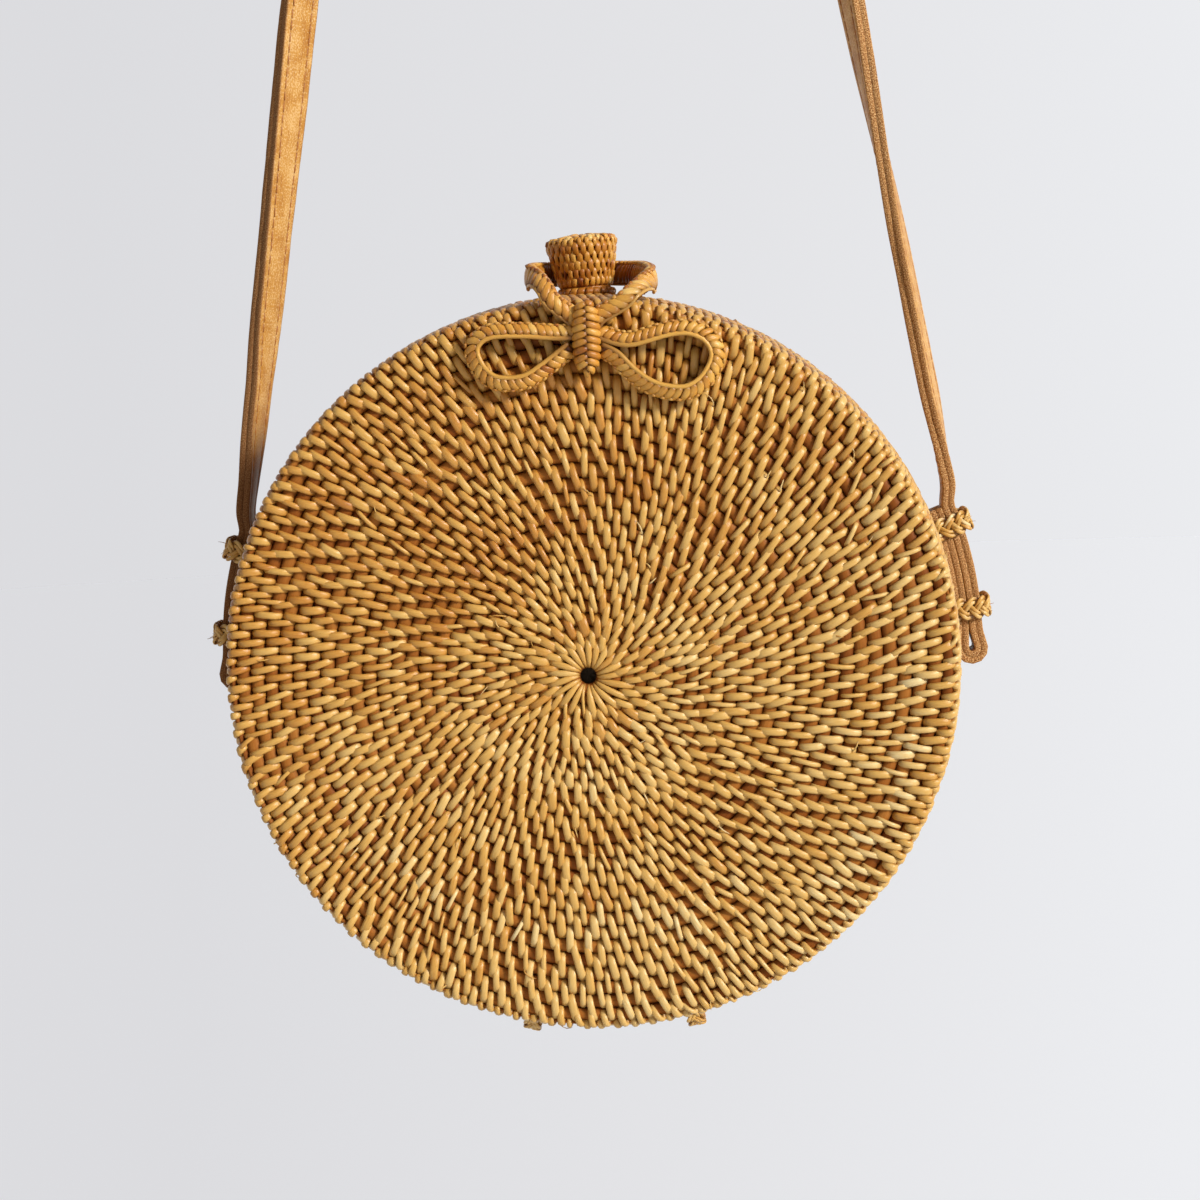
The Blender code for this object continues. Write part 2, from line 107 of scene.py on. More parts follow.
right, ahead, up = turn(2, 1, PITCH) @ turn(0, 1, YAW) @ turn(0, 2, ROLL)
place = in_room(-(SHIFT_ACROSS * right + DISTANCE * ahead + SHIFT_UP * up))
camera = link(bpy.data.objects.new("camera", bpy.data.cameras.new("camera")))
camera.data.lens, camera.data.sensor_width = LENS, SENSOR
camera.data.clip_start, camera.data.clip_end = 0.02, 30
columns = np.array([right, up, -ahead]).T
camera.matrix_world = Matrix([[*columns[i], place[i]] for i in range(3)] + [[0, 0, 0, 1]])
bpy.context.scene.camera = camera
print("the camera stands at", place.round(4))

# %% [markdown]
# ## Building pieces from lists of points
# Thousands of stitches are too many for one object each, and modifiers would be slow. Lists of points and faces go
# straight into a mesh instead, and each point may carry marks, such as how light its strand is. The materials read
# those marks later, so one material can colour every stitch differently.


# %% A mesh from lists
def mesh_of(name, points, face_sets, **marks):
    mesh = bpy.data.meshes.new(name)
    corners = np.concatenate([faces.ravel() for faces in face_sets])
    sizes = np.concatenate([np.full(len(faces), faces.shape[1]) for faces in face_sets])
    mesh.vertices.add(len(points))
    mesh.vertices.foreach_set("co", in_room(points).ravel().astype(np.float32))
    mesh.loops.add(len(corners))
    mesh.loops.foreach_set("vertex_index", corners.astype(np.int32))
    mesh.polygons.add(len(sizes))
    mesh.polygons.foreach_set("loop_start", (np.cumsum(sizes) - sizes).astype(np.int32))
    mesh.polygons.foreach_set("use_smooth", np.ones(len(sizes), bool))
    for mark, values in marks.items():
        values = np.asarray(values, np.float32)
        kind, field = ("FLOAT_VECTOR", "vector") if values.ndim == 2 else ("FLOAT", "value")
        mesh.attributes.new(mark, kind, "POINT").data.foreach_set(field, values.ravel())
    mesh.update(calc_edges=True)
    mesh.validate()
    return mesh


# %% A piece of the bag
def joined(parts):
    """Parts, each (points, face sets, marks), made one."""
    points, face_sets, start = [], [], 0
    for part_points, part_faces, _ in parts:
        points.append(part_points)
        face_sets += [np.asarray(faces, int) + start for faces in part_faces]
        start += len(part_points)
    marks = {mark: np.concatenate([part[2][mark] for part in parts]) for mark in parts[0][2]}
    return np.concatenate(points), face_sets, marks


def add_piece(name, parts, finish, body=None, stands_for=()):
    """Joins parts into one object that rides on a body."""
    points, face_sets, marks = joined(parts)
    made = link(bpy.data.objects.new(name, mesh_of(name, points, face_sets, **marks)))
    made.data.materials.append(finish)
    if body:
        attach(made, body)
    if stands_for:
        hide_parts(*stands_for)
    print(name, "has", sum(len(f) * (f.shape[1] - 2) for f in face_sets), "triangles")
    return made


# %% [markdown]
# ## Rods: the one shape behind every stitch
# A strand of grass that wraps a core shows as a short plump rod, flatter than it is wide, whose ends dive between
# its neighbours. Each rod is a row of eight-sided rings along a path. Its marks are how light its strand is, how
# near a point is to an end, and a grain that runs along it. A tube with a bevelled curve would be quicker to write,
# but it carries no marks.

# %% Shapes from rows of points
TURN = 2 * math.pi
SIDES = 8
RING = (np.arange(SIDES) + 0.5) * TURN / SIDES


def unit(vectors):
    return vectors / np.maximum(np.linalg.norm(vectors, axis=-1, keepdims=True), 1e-9)


def stack(*columns):
    """Columns of numbers, of any shapes that fit, as points."""
    return np.stack(np.broadcast_arrays(*columns), -1)


def around(radius, angle, third):
    return stack(radius * np.cos(angle), radius * np.sin(angle), third)


def length_along(points):
    """How far each point lies along its line."""
    steps = np.cumsum(np.linalg.norm(np.diff(points, axis=-2), axis=-1), -1)
    return np.concatenate([np.zeros((*steps.shape[:-1], 1)), steps], -1)


def look_up(run, table, at):
    """A table's rows at the places at, where run says how far along each row lies."""
    return np.stack([np.interp(at, run, column) for column in table.T], -1)


def skin(index):
    """Quads between neighbouring rings, from the numbers of their points."""
    a, b = index[..., :-1, :], index[..., 1:, :]
    return np.stack([a, b, np.roll(b, -1, -1), np.roll(a, -1, -1)], -1).reshape(-1, 4)


# %% Rods
ROD_GRAIN, TONE_GRAIN = 7.31, 50  # keep the streaks of one rod off its neighbours'


def rods(paths, outward, half_width, half_height, tone, squareness=0.85):
    """paths and outward are (rods, rings, 3); the other sizes are one per rod and ring, or one for all."""
    count, rings, _ = paths.shape
    half_width, half_height = (np.broadcast_to(size, (count, rings))[..., None] for size in (half_width, half_height))
    ahead = unit(np.gradient(paths, axis=1))
    across = unit(np.cross(ahead, outward))
    lift = np.cross(across, ahead)
    c, s = (np.sign(f(RING)) * np.abs(f(RING)) ** squareness for f in (np.cos, np.sin))
    aside, above = (half_width * c)[..., None], (half_height * s)[..., None]
    points = paths[:, :, None] + across[:, :, None] * aside + lift[:, :, None] * above
    index = np.arange(count * rings * SIDES).reshape(count, rings, SIDES)
    caps = np.concatenate([index[:, 0], index[:, -1, ::-1]])
    run = length_along(paths)
    every = lambda values: np.broadcast_to(values, (count, rings, SIDES)).ravel()
    tone, number = tone[:, None, None], np.arange(count)[:, None, None]
    grain = [every(half_width * c), every(run[..., None]), every(number * ROD_GRAIN + tone * TONE_GRAIN)]
    near_end = np.abs(2 * (run / run[:, -1:]) - 1)[..., None]
    # under rises on a rod's underside; the finishes paint shade there
    marks = {"tone": every(tone), "end": every(near_end), "under": every((1 - s) / 2), "grain": np.stack(grain, -1)}
    return points.reshape(-1, 3), [skin(index), caps], marks


print("a rod of 8 rings has", 7 * 2 * SIDES + 2 * (SIDES - 2), "triangles")

# %% [markdown]
# ## Finishes
# Dried grass is a warm gold that differs from strand to strand, with fine streaks along it, and a soft gloss. Each
# rod is painted darker and browner where it dives into the weave and on its underside: painted shade, partly a
# stain. A photograph could be wrapped round the bag, but a finish made of nodes stays sharp at any distance and
# fits every stitch. It reads the marks that the rods carry.


# %% Small helpers for node trees
class Nodes:
    """Adds nodes to one tree. An input may be a value or another node's output."""

    def __init__(self, tree):
        self.tree = tree

    def fill(self, node, **inputs):
        """An input's name has underscores for spaces, or is the letter i and its number."""
        for key, value in inputs.items():
            numbered = key[0] == "i" and key[1:].isdigit()
            socket = node.inputs[int(key[1:]) if numbered else key.replace("_", " ")]
            if isinstance(value, bpy.types.NodeSocket):
                self.tree.links.new(value, socket)
            else:
                socket.default_value = (*value, 1) if socket.type == "RGBA" else value
        return node

    def add(self, kind, settings=None, **inputs):
        made = self.tree.nodes.new("ShaderNode" + kind)
        for key, value in (settings or {}).items():
            setattr(made, key, value)
        return self.fill(made, **inputs)

    def maths(self, operation, *values):
        return self.add("Math", {"operation": operation}, **{f"i{i}": v for i, v in enumerate(values)}).outputs[0]

    def times(self, first, second):
        return self.maths("MULTIPLY", first, second)

    def swing(self, pattern, share, base):
        """The base, moved by a share of how far the pattern lies from a half."""
        return self.maths("MULTIPLY_ADD", self.maths("SUBTRACT", pattern, 0.5), share, base)

    def spread(self, value, **ends):
        return self.add("MapRange", Value=value, **ends).outputs[0]

    def ramp(self, factor, *stops):
        """Stops are (place, colour)."""
        made = self.add("ValToRGB", Fac=factor)
        elements = made.color_ramp.elements
        while len(elements) < len(stops):
            elements.new(0.5)
        for element, (place, colour) in zip(elements, stops):
            element.position, element.color = place, (*colour, 1)
        return made.outputs["Color"]

    def mix(self, factor, first, second, blend="MIX"):
        return self.add("Mix", {"data_type": "RGBA", "blend_type": blend}, i0=factor, i6=first, i7=second).outputs[2]

    def noise(self, vector, scale, detail=3.0, stretch=None):
        if stretch:
            vector = self.add("VectorMath", {"operation": "MULTIPLY"}, i0=vector, i1=stretch).outputs[0]
        return self.add("TexNoise", Vector=vector, Scale=scale, Detail=detail, Roughness=0.55).outputs["Fac"]

    def mark(self, name, output="Fac"):
        return self.add("Attribute", {"attribute_name": name}).outputs[output]

    def where(self, output="Object"):
        return self.add("TexCoord").outputs[output]

    def one_of(self, vector, axis):
        return self.add("SeparateXYZ", Vector=vector).outputs[axis]

    def bump(self, height, strength=0.5, depth=0.0002):
        return self.add("Bump", Strength=strength, Distance=depth, Height=height).outputs[0]

    def seen_straight(self):
        """1 for rays that show a surface as it is seen, and 0 for rays that only gather light."""
        outputs = self.add("LightPath").outputs
        mirrored = self.maths("MAXIMUM", outputs["Is Glossy Ray"], outputs["Is Transmission Ray"])
        return self.maths("MAXIMUM", outputs["Is Camera Ray"], mirrored)


def new_finish(name):
    """A finish, its nodes and its shader."""
    finish = bpy.data.materials.new(name)
    finish.use_nodes = True
    return finish, Nodes(finish.node_tree), finish.node_tree.nodes["Principled BSDF"]


BLACK, WHITE = (0, 0, 0), (1, 1, 1)


# %% Grass and rattan
def grass(name, shades, shadow, gloss, patch_share=0.2, end_power=4.0, specular=0.4):
    """A strand finish. shades runs from the darkest strand to the palest; shadow is the painted shade, partly a stain,
    where it dives and underneath.
    """
    finish, nodes, shader = new_finish(name)
    grain, tone = nodes.mark("grain", "Vector"), nodes.mark("tone")
    streaks = nodes.noise(grain, 1.0, 3.0, (5.0, 0.45, 1.0))
    fine = nodes.noise(grain, 1.0, 2.0, (17.0, 1.3, 1.0))
    patches = nodes.noise(nodes.where(), 26.0, 2.0)
    for pattern, share in ((patches, patch_share), (streaks, 0.45), (fine, 0.16)):
        tone = nodes.swing(pattern, share, tone)
    colour = nodes.ramp(tone, *((i / (len(shades) - 1), shade) for i, shade in enumerate(shades)))
    dive = nodes.maths("POWER", nodes.mark("end"), end_power)
    # painted shade, partly a stain: darker towards the diving ends and on each rod's underside
    hidden = nodes.maths("MAXIMUM", dive, nodes.times(nodes.mark("under"), 0.75))
    colour = nodes.mix(nodes.times(hidden, 0.8), colour, shadow)
    specks = nodes.ramp(nodes.noise(grain, 1.0, 2.0, (3.1, 2.3, 1.7)), (0.70, BLACK), (0.76, WHITE))
    colour = nodes.mix(nodes.times(specks, 0.35), colour, shadow)
    rough = nodes.spread(streaks, To_Min=gloss - 0.08, To_Max=gloss + 0.12)
    relief = nodes.bump(nodes.maths("MULTIPLY_ADD", fine, 0.6, streaks), 0.45, 0.00012)
    nodes.fill(shader, Base_Color=colour, Specular_IOR_Level=specular, Roughness=rough, Normal=relief)
    return finish


STRAW_SHADES = (0.33, 0.1, 0.012), (0.52, 0.225, 0.03), (0.64, 0.365, 0.083), (0.71, 0.47, 0.162), (0.79, 0.64, 0.34)
# the core's shades are darker than the grass's: partly its own browner colour, partly painted shade for the gaps
# between stitches
CORE_SHADES = (0.14, 0.032, 0.004), (0.25, 0.074, 0.01), (0.37, 0.135, 0.022), (0.48, 0.208, 0.044)
straw = grass("golden_grass", STRAW_SHADES, (0.15, 0.03, 0.002), gloss=0.33, end_power=4.5, specular=0.45)
core_reed = grass("rattan_core", CORE_SHADES, (0.09, 0.018, 0.002), gloss=0.5, end_power=3.0, specular=0.12)
print("finishes:", straw.name, core_reed.name)

# %% [markdown]
# ## Floor and light
# The bag hangs in front of a plain pale wall, in soft daylight from the right and a little from above, so the left
# flank of each stitch is in shade. Area lamps would do, but a broad sun lights near and far alike, which keeps the
# floor even. The sky fills the shadows, and the camera sees it as the pale backdrop.


# %% The backdrop
def backdrop_colour(nodes, direction):
    """Pale grey, with painted light: a little darker to the left and lighter to the right, where the window is."""
    ahead = nodes.add("VectorMath", {"operation": "NORMALIZE"}, i0=direction).outputs[0]
    share = nodes.spread(nodes.one_of(ahead, 0), From_Min=-0.26, From_Max=0.26)
    return nodes.ramp(share, (0.0, (0.715, 0.716, 0.74)), (0.5, (0.776, 0.778, 0.80)), (1.0, (0.85, 0.86, 0.885)))


SKY_LIGHT, SKY_COLOUR = 0.21, (1.0, 0.93, 0.83)  # the pale room around warms the daylight a little
WALL_LIGHT = 0.5  # more from the pale wall behind, which lights the back
world = bpy.data.worlds.new("studio")
world.use_nodes = True
nodes = Nodes(world.node_tree)
nodes.tree.nodes.clear()
direction = nodes.where("Generated")
brightness = nodes.maths("MULTIPLY_ADD", nodes.maths("MAXIMUM", nodes.one_of(direction, 1), 0.0), WALL_LIGHT, SKY_LIGHT)
light_sky = nodes.add("Background", Color=SKY_COLOUR, Strength=brightness)
seen_sky = nodes.add("Background", Color=backdrop_colour(nodes, direction), Strength=1.0)
both = nodes.add("MixShader", Fac=nodes.seen_straight(), i1=light_sky.outputs[0], i2=seen_sky.outputs[0])
nodes.add("OutputWorld", i0=both.outputs[0])
bpy.context.scene.world = world
print("sky light", SKY_LIGHT)


# %% The lamps
def sun(name, towards, strength, softness, colour):
    lamp = bpy.data.lights.new(name, "SUN")
    lamp.energy, lamp.angle, lamp.color = strength, math.radians(softness), colour
    made = link(bpy.data.objects.new(name, lamp))
    made.rotation_mode = "QUATERNION"
    made.rotation_quaternion = Vector(towards).to_track_quat("-Z", "Y")
    print(name, "shines towards", towards)


sun("window_light", (-0.76, 0.50, -0.42), strength=4.1, softness=12, colour=(1.0, 0.98, 0.95))
sun("wall_bounce", (0.7, 0.6, 0.1), strength=0.10, softness=60, colour=(1.0, 0.98, 0.96))

# %% The floor
FLOOR_DROP, FLOOR_RADIUS, FLOOR_CORNERS = 1.15, 7, 96
FLOOR_BRIGHT = 1.1  # the floor's paint against the backdrop's colour
FLOOR_GLOW = (0.051, 0.087, 0.140)  # what the camera still lacks to see both alike; the shadow stays
floor_mesh = bpy.data.meshes.new("floor")
turns = np.linspace(0, TURN, FLOOR_CORNERS, endpoint=False)
floor_mesh.from_pydata(around(FLOOR_RADIUS, turns, -FLOOR_DROP).tolist(), [], [tuple(range(FLOOR_CORNERS))])
floor = link(bpy.data.objects.new("floor", floor_mesh))
floor_paint, nodes, shader = new_finish("floor_paint")
# the floor's paint takes the backdrop's painted light, darker to the left
paint = backdrop_colour(nodes, nodes.where())
paint = nodes.mix(nodes.times(nodes.noise(nodes.where(), 40.0, 4.0), 0.02), paint, (0.6, 0.6, 0.62))
bright_paint = nodes.mix(1.0, paint, (FLOOR_BRIGHT,) * 3, "MULTIPLY")
nodes.fill(shader, Base_Color=bright_paint, Roughness=1.0, Specular_IOR_Level=0.0)
glow = nodes.add("Emission", Color=nodes.mix(1.0, paint, FLOOR_GLOW, "MULTIPLY"), Strength=nodes.seen_straight())
both = nodes.add("AddShader", i0=shader.outputs[0], i1=glow.outputs[0])
nodes.fill(nodes.tree.nodes["Material Output"], Surface=both.outputs[0])
floor_mesh.materials.append(floor_paint)
print("the floor lies", FLOOR_DROP, "m under the hook")

# %% [markdown]
# ## The weave's shape, unrolled
# Face, wall, mouth and the first centimetre inside are one continuous coil, so they are described by one line: a
# profile that runs from the centre hole out over the face, round the edge, down the wall and round the mouth.
# Texturing a lathe shape would be quicker, but the stitches have to bend over the edge and dive between their
# neighbours. A point of the weave is given by how far it lies along this line, its angle round the bag and its
# lift.

# %% The profile of a half shell
EDGE_ROUND, MOUTH_ROUND, INSIDE_REACH = 2.4, WEAVE_THICKNESS / 2, 6.5


def wall_radius(depth):
    return FACE_RADIUS + WALL_BULGE * (1 - (depth / HALF_DEPTH) ** 2)


def arc(centre_radius, centre_depth, size, first, last, count=14):
    turns = np.radians(np.linspace(first, last, count))
    return stack(centre_radius + size * np.cos(turns), centre_depth + size * np.sin(turns))


edge_centre = wall_radius(HALF_DEPTH - EDGE_ROUND) - EDGE_ROUND
mouth_depth = MOUTH_ROUND + SEAM_CLEARANCE
mouth_centre = wall_radius(mouth_depth) - MOUTH_ROUND
wall_depths = np.linspace(HALF_DEPTH - EDGE_ROUND, mouth_depth, 16)[1:-1]
profile = np.concatenate([
    stack(np.linspace(0, edge_centre, 60)[:-1], HALF_DEPTH),
    arc(edge_centre, HALF_DEPTH - EDGE_ROUND, EDGE_ROUND, 90, 0),
    stack(wall_radius(wall_depths), wall_depths),
    arc(mouth_centre, mouth_depth, MOUTH_ROUND, 0, -180, 22),
    [[mouth_centre - MOUTH_ROUND, mouth_depth + INSIDE_REACH]],
])  # fmt: skip


# %% Points on a coiled shape
class Coiled:
    """A round shape made of one coil: profile rows are (radius, depth), from the middle outwards."""

    def __init__(self, profile, to_bag):
        self.along, self.to_bag = length_along(profile), to_bag
        self.length = self.along[-1]
        ahead = unit(np.gradient(profile, self.along, axis=0))
        self.rows = stack(*profile.T, -ahead[:, 1], ahead[:, 0])

    def radius(self, along):
        return np.interp(along, self.along, self.rows[:, 0])

    def at(self, along, angle, lift):
        """Points and their outward directions."""
        radius, depth, out_radius, out_depth = np.moveaxis(look_up(self.along, self.rows, along), -1, 0)
        points = around(radius + out_radius * lift, angle, depth + out_depth * lift)
        return self.to_bag(points), self.to_bag(around(out_radius, angle, out_depth), True)


MIDDLE_LEFT, MIDDLE_LOW = 0.6, 1.75  # the front coil was started a little left and low


def facing_front(vectors, direction=False):
    x, z, depth = np.moveaxis(vectors, -1, 0)
    if not direction:
        share = np.clip(1 - np.hypot(x, z) / FACE_RADIUS, 0, 1)
        x, z = x - MIDDLE_LEFT * share, z - MIDDLE_LOW * share
    return stack(x, -depth, z)


def facing_back(vectors, direction=False):
    x, z, depth = np.moveaxis(vectors, -1, 0)
    return stack(-x, depth, z)


HALVES = (("front", Coiled(profile, facing_front), "lid"), ("back", Coiled(profile, facing_back), "bag"))
print("the weave's line is", round(HALVES[0][1].length, 1), "mm long")

# %% [markdown]
# ## Placing the stitches
# A basket maker sets each stitch into the gap between two stitches of the turn before, so the rows interlock like
# bricks, and adds a stitch now and then as the turns grow. The same rule is followed here, stitch by stitch along
# the spiral. Copies at equal angles would look printed, and a random scatter would not interlock.


# %% One coil of stitches
def grow(coil, start, end, first_count, pitch, spacing, lean, seed):
    """Follows the spiral. Returns where each stitch lies along the profile, its angle, and its strand's number."""
    rng = np.random.default_rng(seed)
    strand_length = lambda: int(rng.integers(8, 26))
    along = [start + pitch(start) * i / first_count for i in range(first_count)]
    angle = [TURN * i / first_count for i in range(first_count)]
    before, strand, left = 0, 0, strand_length()
    strands = [0] * first_count
    while along[-1] < end:
        row, radius = pitch(along[-1]), float(coil.radius(along[-1]))
        step = spacing(along[-1]) / radius
        wish = angle[-1] + step
        shift = TURN + row * math.tan(lean) / radius
        gap = lambda i: (angle[i] + angle[i + 1]) / 2 + shift
        while before + 2 < len(angle) and abs(gap(before + 1) - wish) < abs(gap(before) - wish):
            before += 1
        spot = wish + 0.8 * (gap(before) - wish) + step * rng.normal(0, 0.035)
        spot = min(max(spot, angle[-1] + 0.84 * step), angle[-1] + 1.17 * step)
        along.append(along[-1] + row * (spot - angle[-1]) / TURN)
        angle.append(spot)
        left -= 1
        if left < 0:
            strand, left = strand + 1, strand_length()
        strands.append(strand)
    return np.array(along), np.array(angle), np.array(strands)


def eased(first, gain, start, reach):
    """A size that grows by gain, over the reach that begins at start."""
    return lambda s: first + gain * min(max((s - start) / reach, 0), 1)


ROW_NEAR_MIDDLE, ROW, STITCH_LEAN = 3.5, 3.9, math.radians(12)
COIL_START, FIRST_STITCHES = 5.7, 21
row_pitch, stitch_spacing = eased(ROW_NEAR_MIDDLE, ROW - ROW_NEAR_MIDDLE, 30, 25), eased(3.15, 1.15, 12, 45)
rule = FIRST_STITCHES, row_pitch, stitch_spacing, STITCH_LEAN
placed = {}
for (half, coil, _), seed in zip(HALVES, (7, 11)):
    placed[half] = grow(coil, COIL_START, coil.length - 3.0, *rule, seed)
    print(half, "has", len(placed[half][0]), "stitches")

# %% [markdown]
# ## The stitches themselves
# Each stitch crosses two turns of the core: it rises out of one groove, lies over the cores, and dives into the
# next groove but one, leaning a little as it goes. Widths and shades change from strand to strand, and a few are
# thin, crooked or brown. Even stitches would be simpler, but no hand makes them. The dive at both ends matters
# most, because it is what makes the dark steps that basketry shows.

# %% Stitches over two turns
SHARES = np.array([-1, -0.955, -0.86, -0.6, -0.22, 0.22, 0.6, 0.86, 0.955, 1.0])
SWELL = np.array([0.74, 0.90, 0.98, 1.0, 1.0, 1.0, 1.02, 1.02, 0.94, 0.78])
ROWS_CROSSED = 1.84
ODD_STITCHES, BROWN_STRANDS, BROWN_STITCHES = 0.045, 0.012, 0.02  # shares of them all


def strand_values(strands, rng, spread, own):
    """One value for each strand, and a smaller one for each of its stitches."""
    return rng.normal(0, spread, strands.max() + 1)[strands] + rng.normal(0, own, len(strands))


def coil_stitches(
    coil, placed, pitch, lean, seed, width, height, dive, eye, tone_wish=0.5, lift=0.1, fade=0.0, spread=1.0
):
    """eye is the radius of the hole in the middle and how many stitches the first turn has. fade makes the grass paler
    towards the lower right, and spread sets how much its shades differ."""
    along, angle, strands = placed
    rng, count, (hole, first_turn) = np.random.default_rng(seed), len(along), eye
    length = ROWS_CROSSED * np.array([pitch(s) for s in along]) * (1 + rng.normal(0, 0.05, count))
    wide = width * (1 + strand_values(strands, rng, 0.09, 0.08)) / 2
    tilt = lean + rng.normal(0, 0.085, count) + strand_values(strands, rng, 0.04, 0.0)
    odd = rng.random(count) < ODD_STITCHES
    wide, tilt = np.where(odd, wide * 0.62, wide), np.where(odd, tilt + rng.normal(0, 0.2, count), tilt)
    tone = tone_wish + spread * strand_values(strands, rng, 0.075, 0.06)
    brown = (rng.random(strands.max() + 1) < BROWN_STRANDS)[strands] | (rng.random(count) < BROWN_STITCHES)
    tone = np.where(brown, tone - 0.12, tone)
    run = SHARES * length[:, None] / 2
    s = along[:, None] + run * np.cos(tilt)[:, None]
    first = (angle < TURN - 0.05) & (along < coil.length / 4)
    to_eye = hole + (s - s[:, :1]) * ((s[:, -1:] + 0.25 * hole - hole) / (s[:, -1:] - s[:, :1]))
    s = np.where(first[:, None], to_eye, s)
    radius = np.maximum(coil.radius(s), hole * 0.8)
    theta = angle[:, None] + run * np.sin(tilt)[:, None] / np.maximum(radius, hole * 2.2)
    half_width = np.minimum(wide[:, None] * SWELL, radius * (TURN / first_turn) * 0.5)
    half_height = height / 2 * np.minimum(SWELL + 0.15, 1)
    bed = lift + rng.normal(0, 0.08, count)[:, None] - dive * (0.45 * SHARES**2 + 0.55 * np.abs(SHARES) ** 7)
    points, outward = coil.at(s, theta, bed - half_height)
    tone = tone + fade * (0.5 * points[:, 3, 0] - points[:, 3, 2]) / FACE_RADIUS
    return rods(points, outward, half_width, half_height, np.clip(tone, 0.02, 0.98), 0.72)


def chosen(placed, low, high):
    keep = (placed[0] >= low) & (placed[0] < high)
    return tuple(values[keep] for values in placed)


ZONES = {"face_middle": 0, "face_rim": 70, "wall": 98.5, "wall_seam": 117, "mouth": 134}  # where each begins
ends = (*list(ZONES.values())[1:], 200)
REPLACED = {"face_middle": "_face_weave", "wall": "_wall_weave"}
STITCH = {"width": 2.02, "height": 1.4, "dive": 2.15, "eye": (2.75, FIRST_STITCHES), "fade": 0.16}
for (half, coil, body), seed in zip(HALVES, (30, 50)):
    for number, (zone, low) in enumerate(ZONES.items()):
        rows = chosen(placed[half], low, ends[number])
        part = coil_stitches(coil, rows, row_pitch, STITCH_LEAN, seed + number, **STITCH)
        stands_for = (half + REPLACED[zone],) if zone in REPLACED else ()
        add_piece(f"{half}_{zone}_stitches", [part], straw, body, stands_for)

# %% [markdown]
# ## The coiled core under the stitches
# Under the stitches runs the rattan core itself, which shows as small rounded squares between them and closes the
# weave. It follows the same spiral, half a turn's width beside the stitches. A smooth backing would close the gaps
# as well, but the rounded core gives each gap its own highlight and shade.

# %% The core
CORE_ACROSS = np.array([-1.0, -0.74, -0.3, 0.3, 0.74, 1.0, 0.6, -0.6])
CORE_LIFT = np.array([-2.4, -1.7, -1.2, -1.2, -1.7, -2.4, -2.9, -2.9])
# the core's flanks and underside, down in the grooves, get painted shade through this end mark
CORE_END = np.array([1, 0.75, 0, 0, 0.75, 1, 1, 1.0])
CORE_FLOOR = -2.6  # no core lies deeper


def wandering(rng, run, reach, middle, spread):
    """A value that wanders along a run, with a new aim after every reach."""
    aims = np.arange(0, run[-1] + reach, reach)
    return np.interp(run, aims, rng.normal(middle, spread, int(run[-1] / reach) + 2)[: len(aims)])


def coil_core(coil, placed, pitch, seed, size=1.0, step=2.6, tone=0.5):
    """The core starts one turn before the stitches, close round the middle."""
    rng = np.random.default_rng(seed)
    along, angle = np.concatenate([[placed[0][0] + 0.1], placed[0]]), np.concatenate([[-TURN], placed[1]])
    angles = [-TURN]
    while angles[-1] < angle[-1]:
        radius = coil.radius(np.interp(angles[-1], angle, along))
        angles.append(angles[-1] + min(step / float(radius), 0.24))
    angles = np.array(angles)
    middle = np.interp(angles, angle, along)
    pitches = np.array([pitch(s) for s in middle])
    aside = (pitches / 2 + 0.1 * size)[:, None] * CORE_ACROSS
    wander = rng.normal(0, 0.05, len(middle))[:, None] * size
    lift = np.maximum(CORE_LIFT * size + wander, CORE_FLOOR)
    points, _ = coil.at((middle - pitches / 2)[:, None] + aside, angles[:, None], lift)
    index = np.arange(len(middle) * SIDES).reshape(-1, SIDES)
    run = length_along(points[:, 2])
    every = lambda values: np.broadcast_to(values, index.shape).ravel()
    shade = wandering(rng, run, 40, tone, 0.16)[:, None]
    grain = stack(every(aside), every(run[:, None] * 0.3), every(np.floor(angles / TURN)[:, None]))
    marks = {"tone": every(shade), "end": every(CORE_END), "under": every(0.0), "grain": grain}
    return points.reshape(-1, 3), [skin(index), index[:1], index[-1:, ::-1]], marks


for (half, coil, body), seed in zip(HALVES, (21, 22)):
    add_piece(half + "_core", [coil_core(coil, placed[half], row_pitch, seed)], core_reed, body)

# %% [markdown]
# ## Frayed fibres
# Where a strand runs out, a few fine fibres stay loose. There are not many, but without them the weave looks
# pressed from plastic. Hair particles could grow them, but they would not ride on the right half by themselves. A
# few dozen thin rods that curl off the surface are enough.

# %% Loose fibres
FIBRE_TAPER = np.array([1, 1, 1, 0.9, 0.75, 0.55, 0.3])


def fibres(coil, placed, count, seed):
    rng = np.random.default_rng(seed)
    along, angle, _ = placed
    pick = rng.choice(np.flatnonzero((along > 12) & (along < coil.length - 14)), count, replace=False)
    length, heading = rng.uniform(2.0, 4.8, count), rng.uniform(-0.8, 0.8, count) + 0.2
    share = np.linspace(0, 1, len(FIBRE_TAPER))
    run = share * length[:, None]
    bend = heading[:, None] + rng.normal(0, 0.12, count)[:, None] * run
    s = along[pick][:, None] + 2.6 + run * np.cos(bend)
    theta = angle[pick][:, None] + run * np.sin(bend) / coil.radius(s)
    lift = -0.6 + 0.8 * np.sin(share * 2.4) * rng.uniform(0.5, 1.2, count)[:, None]
    points, outward = coil.at(s, theta, lift)
    thick = rng.uniform(0.09, 0.2, count)[:, None] * FIBRE_TAPER
    return rods(points, outward, thick * 1.3, thick, rng.uniform(0.3, 0.95, count))


for (half, coil, body), seed in zip(HALVES, (31, 32)):
    add_piece(half + "_loose_fibres", [fibres(coil, placed[half], 70, seed)], straw, body)

# %% [markdown]
# ## The cotton lining
# Each half is lined with plain cotton, gathered a little where it is sewn in behind the mouth, so it lies in soft
# puckers. It shows when the bag is open. A cloth simulation in a shallow cup gives little more than a lathe shape
# with puckers, so the cup is turned and then creased in code, with a rolled hem and hand stitches.

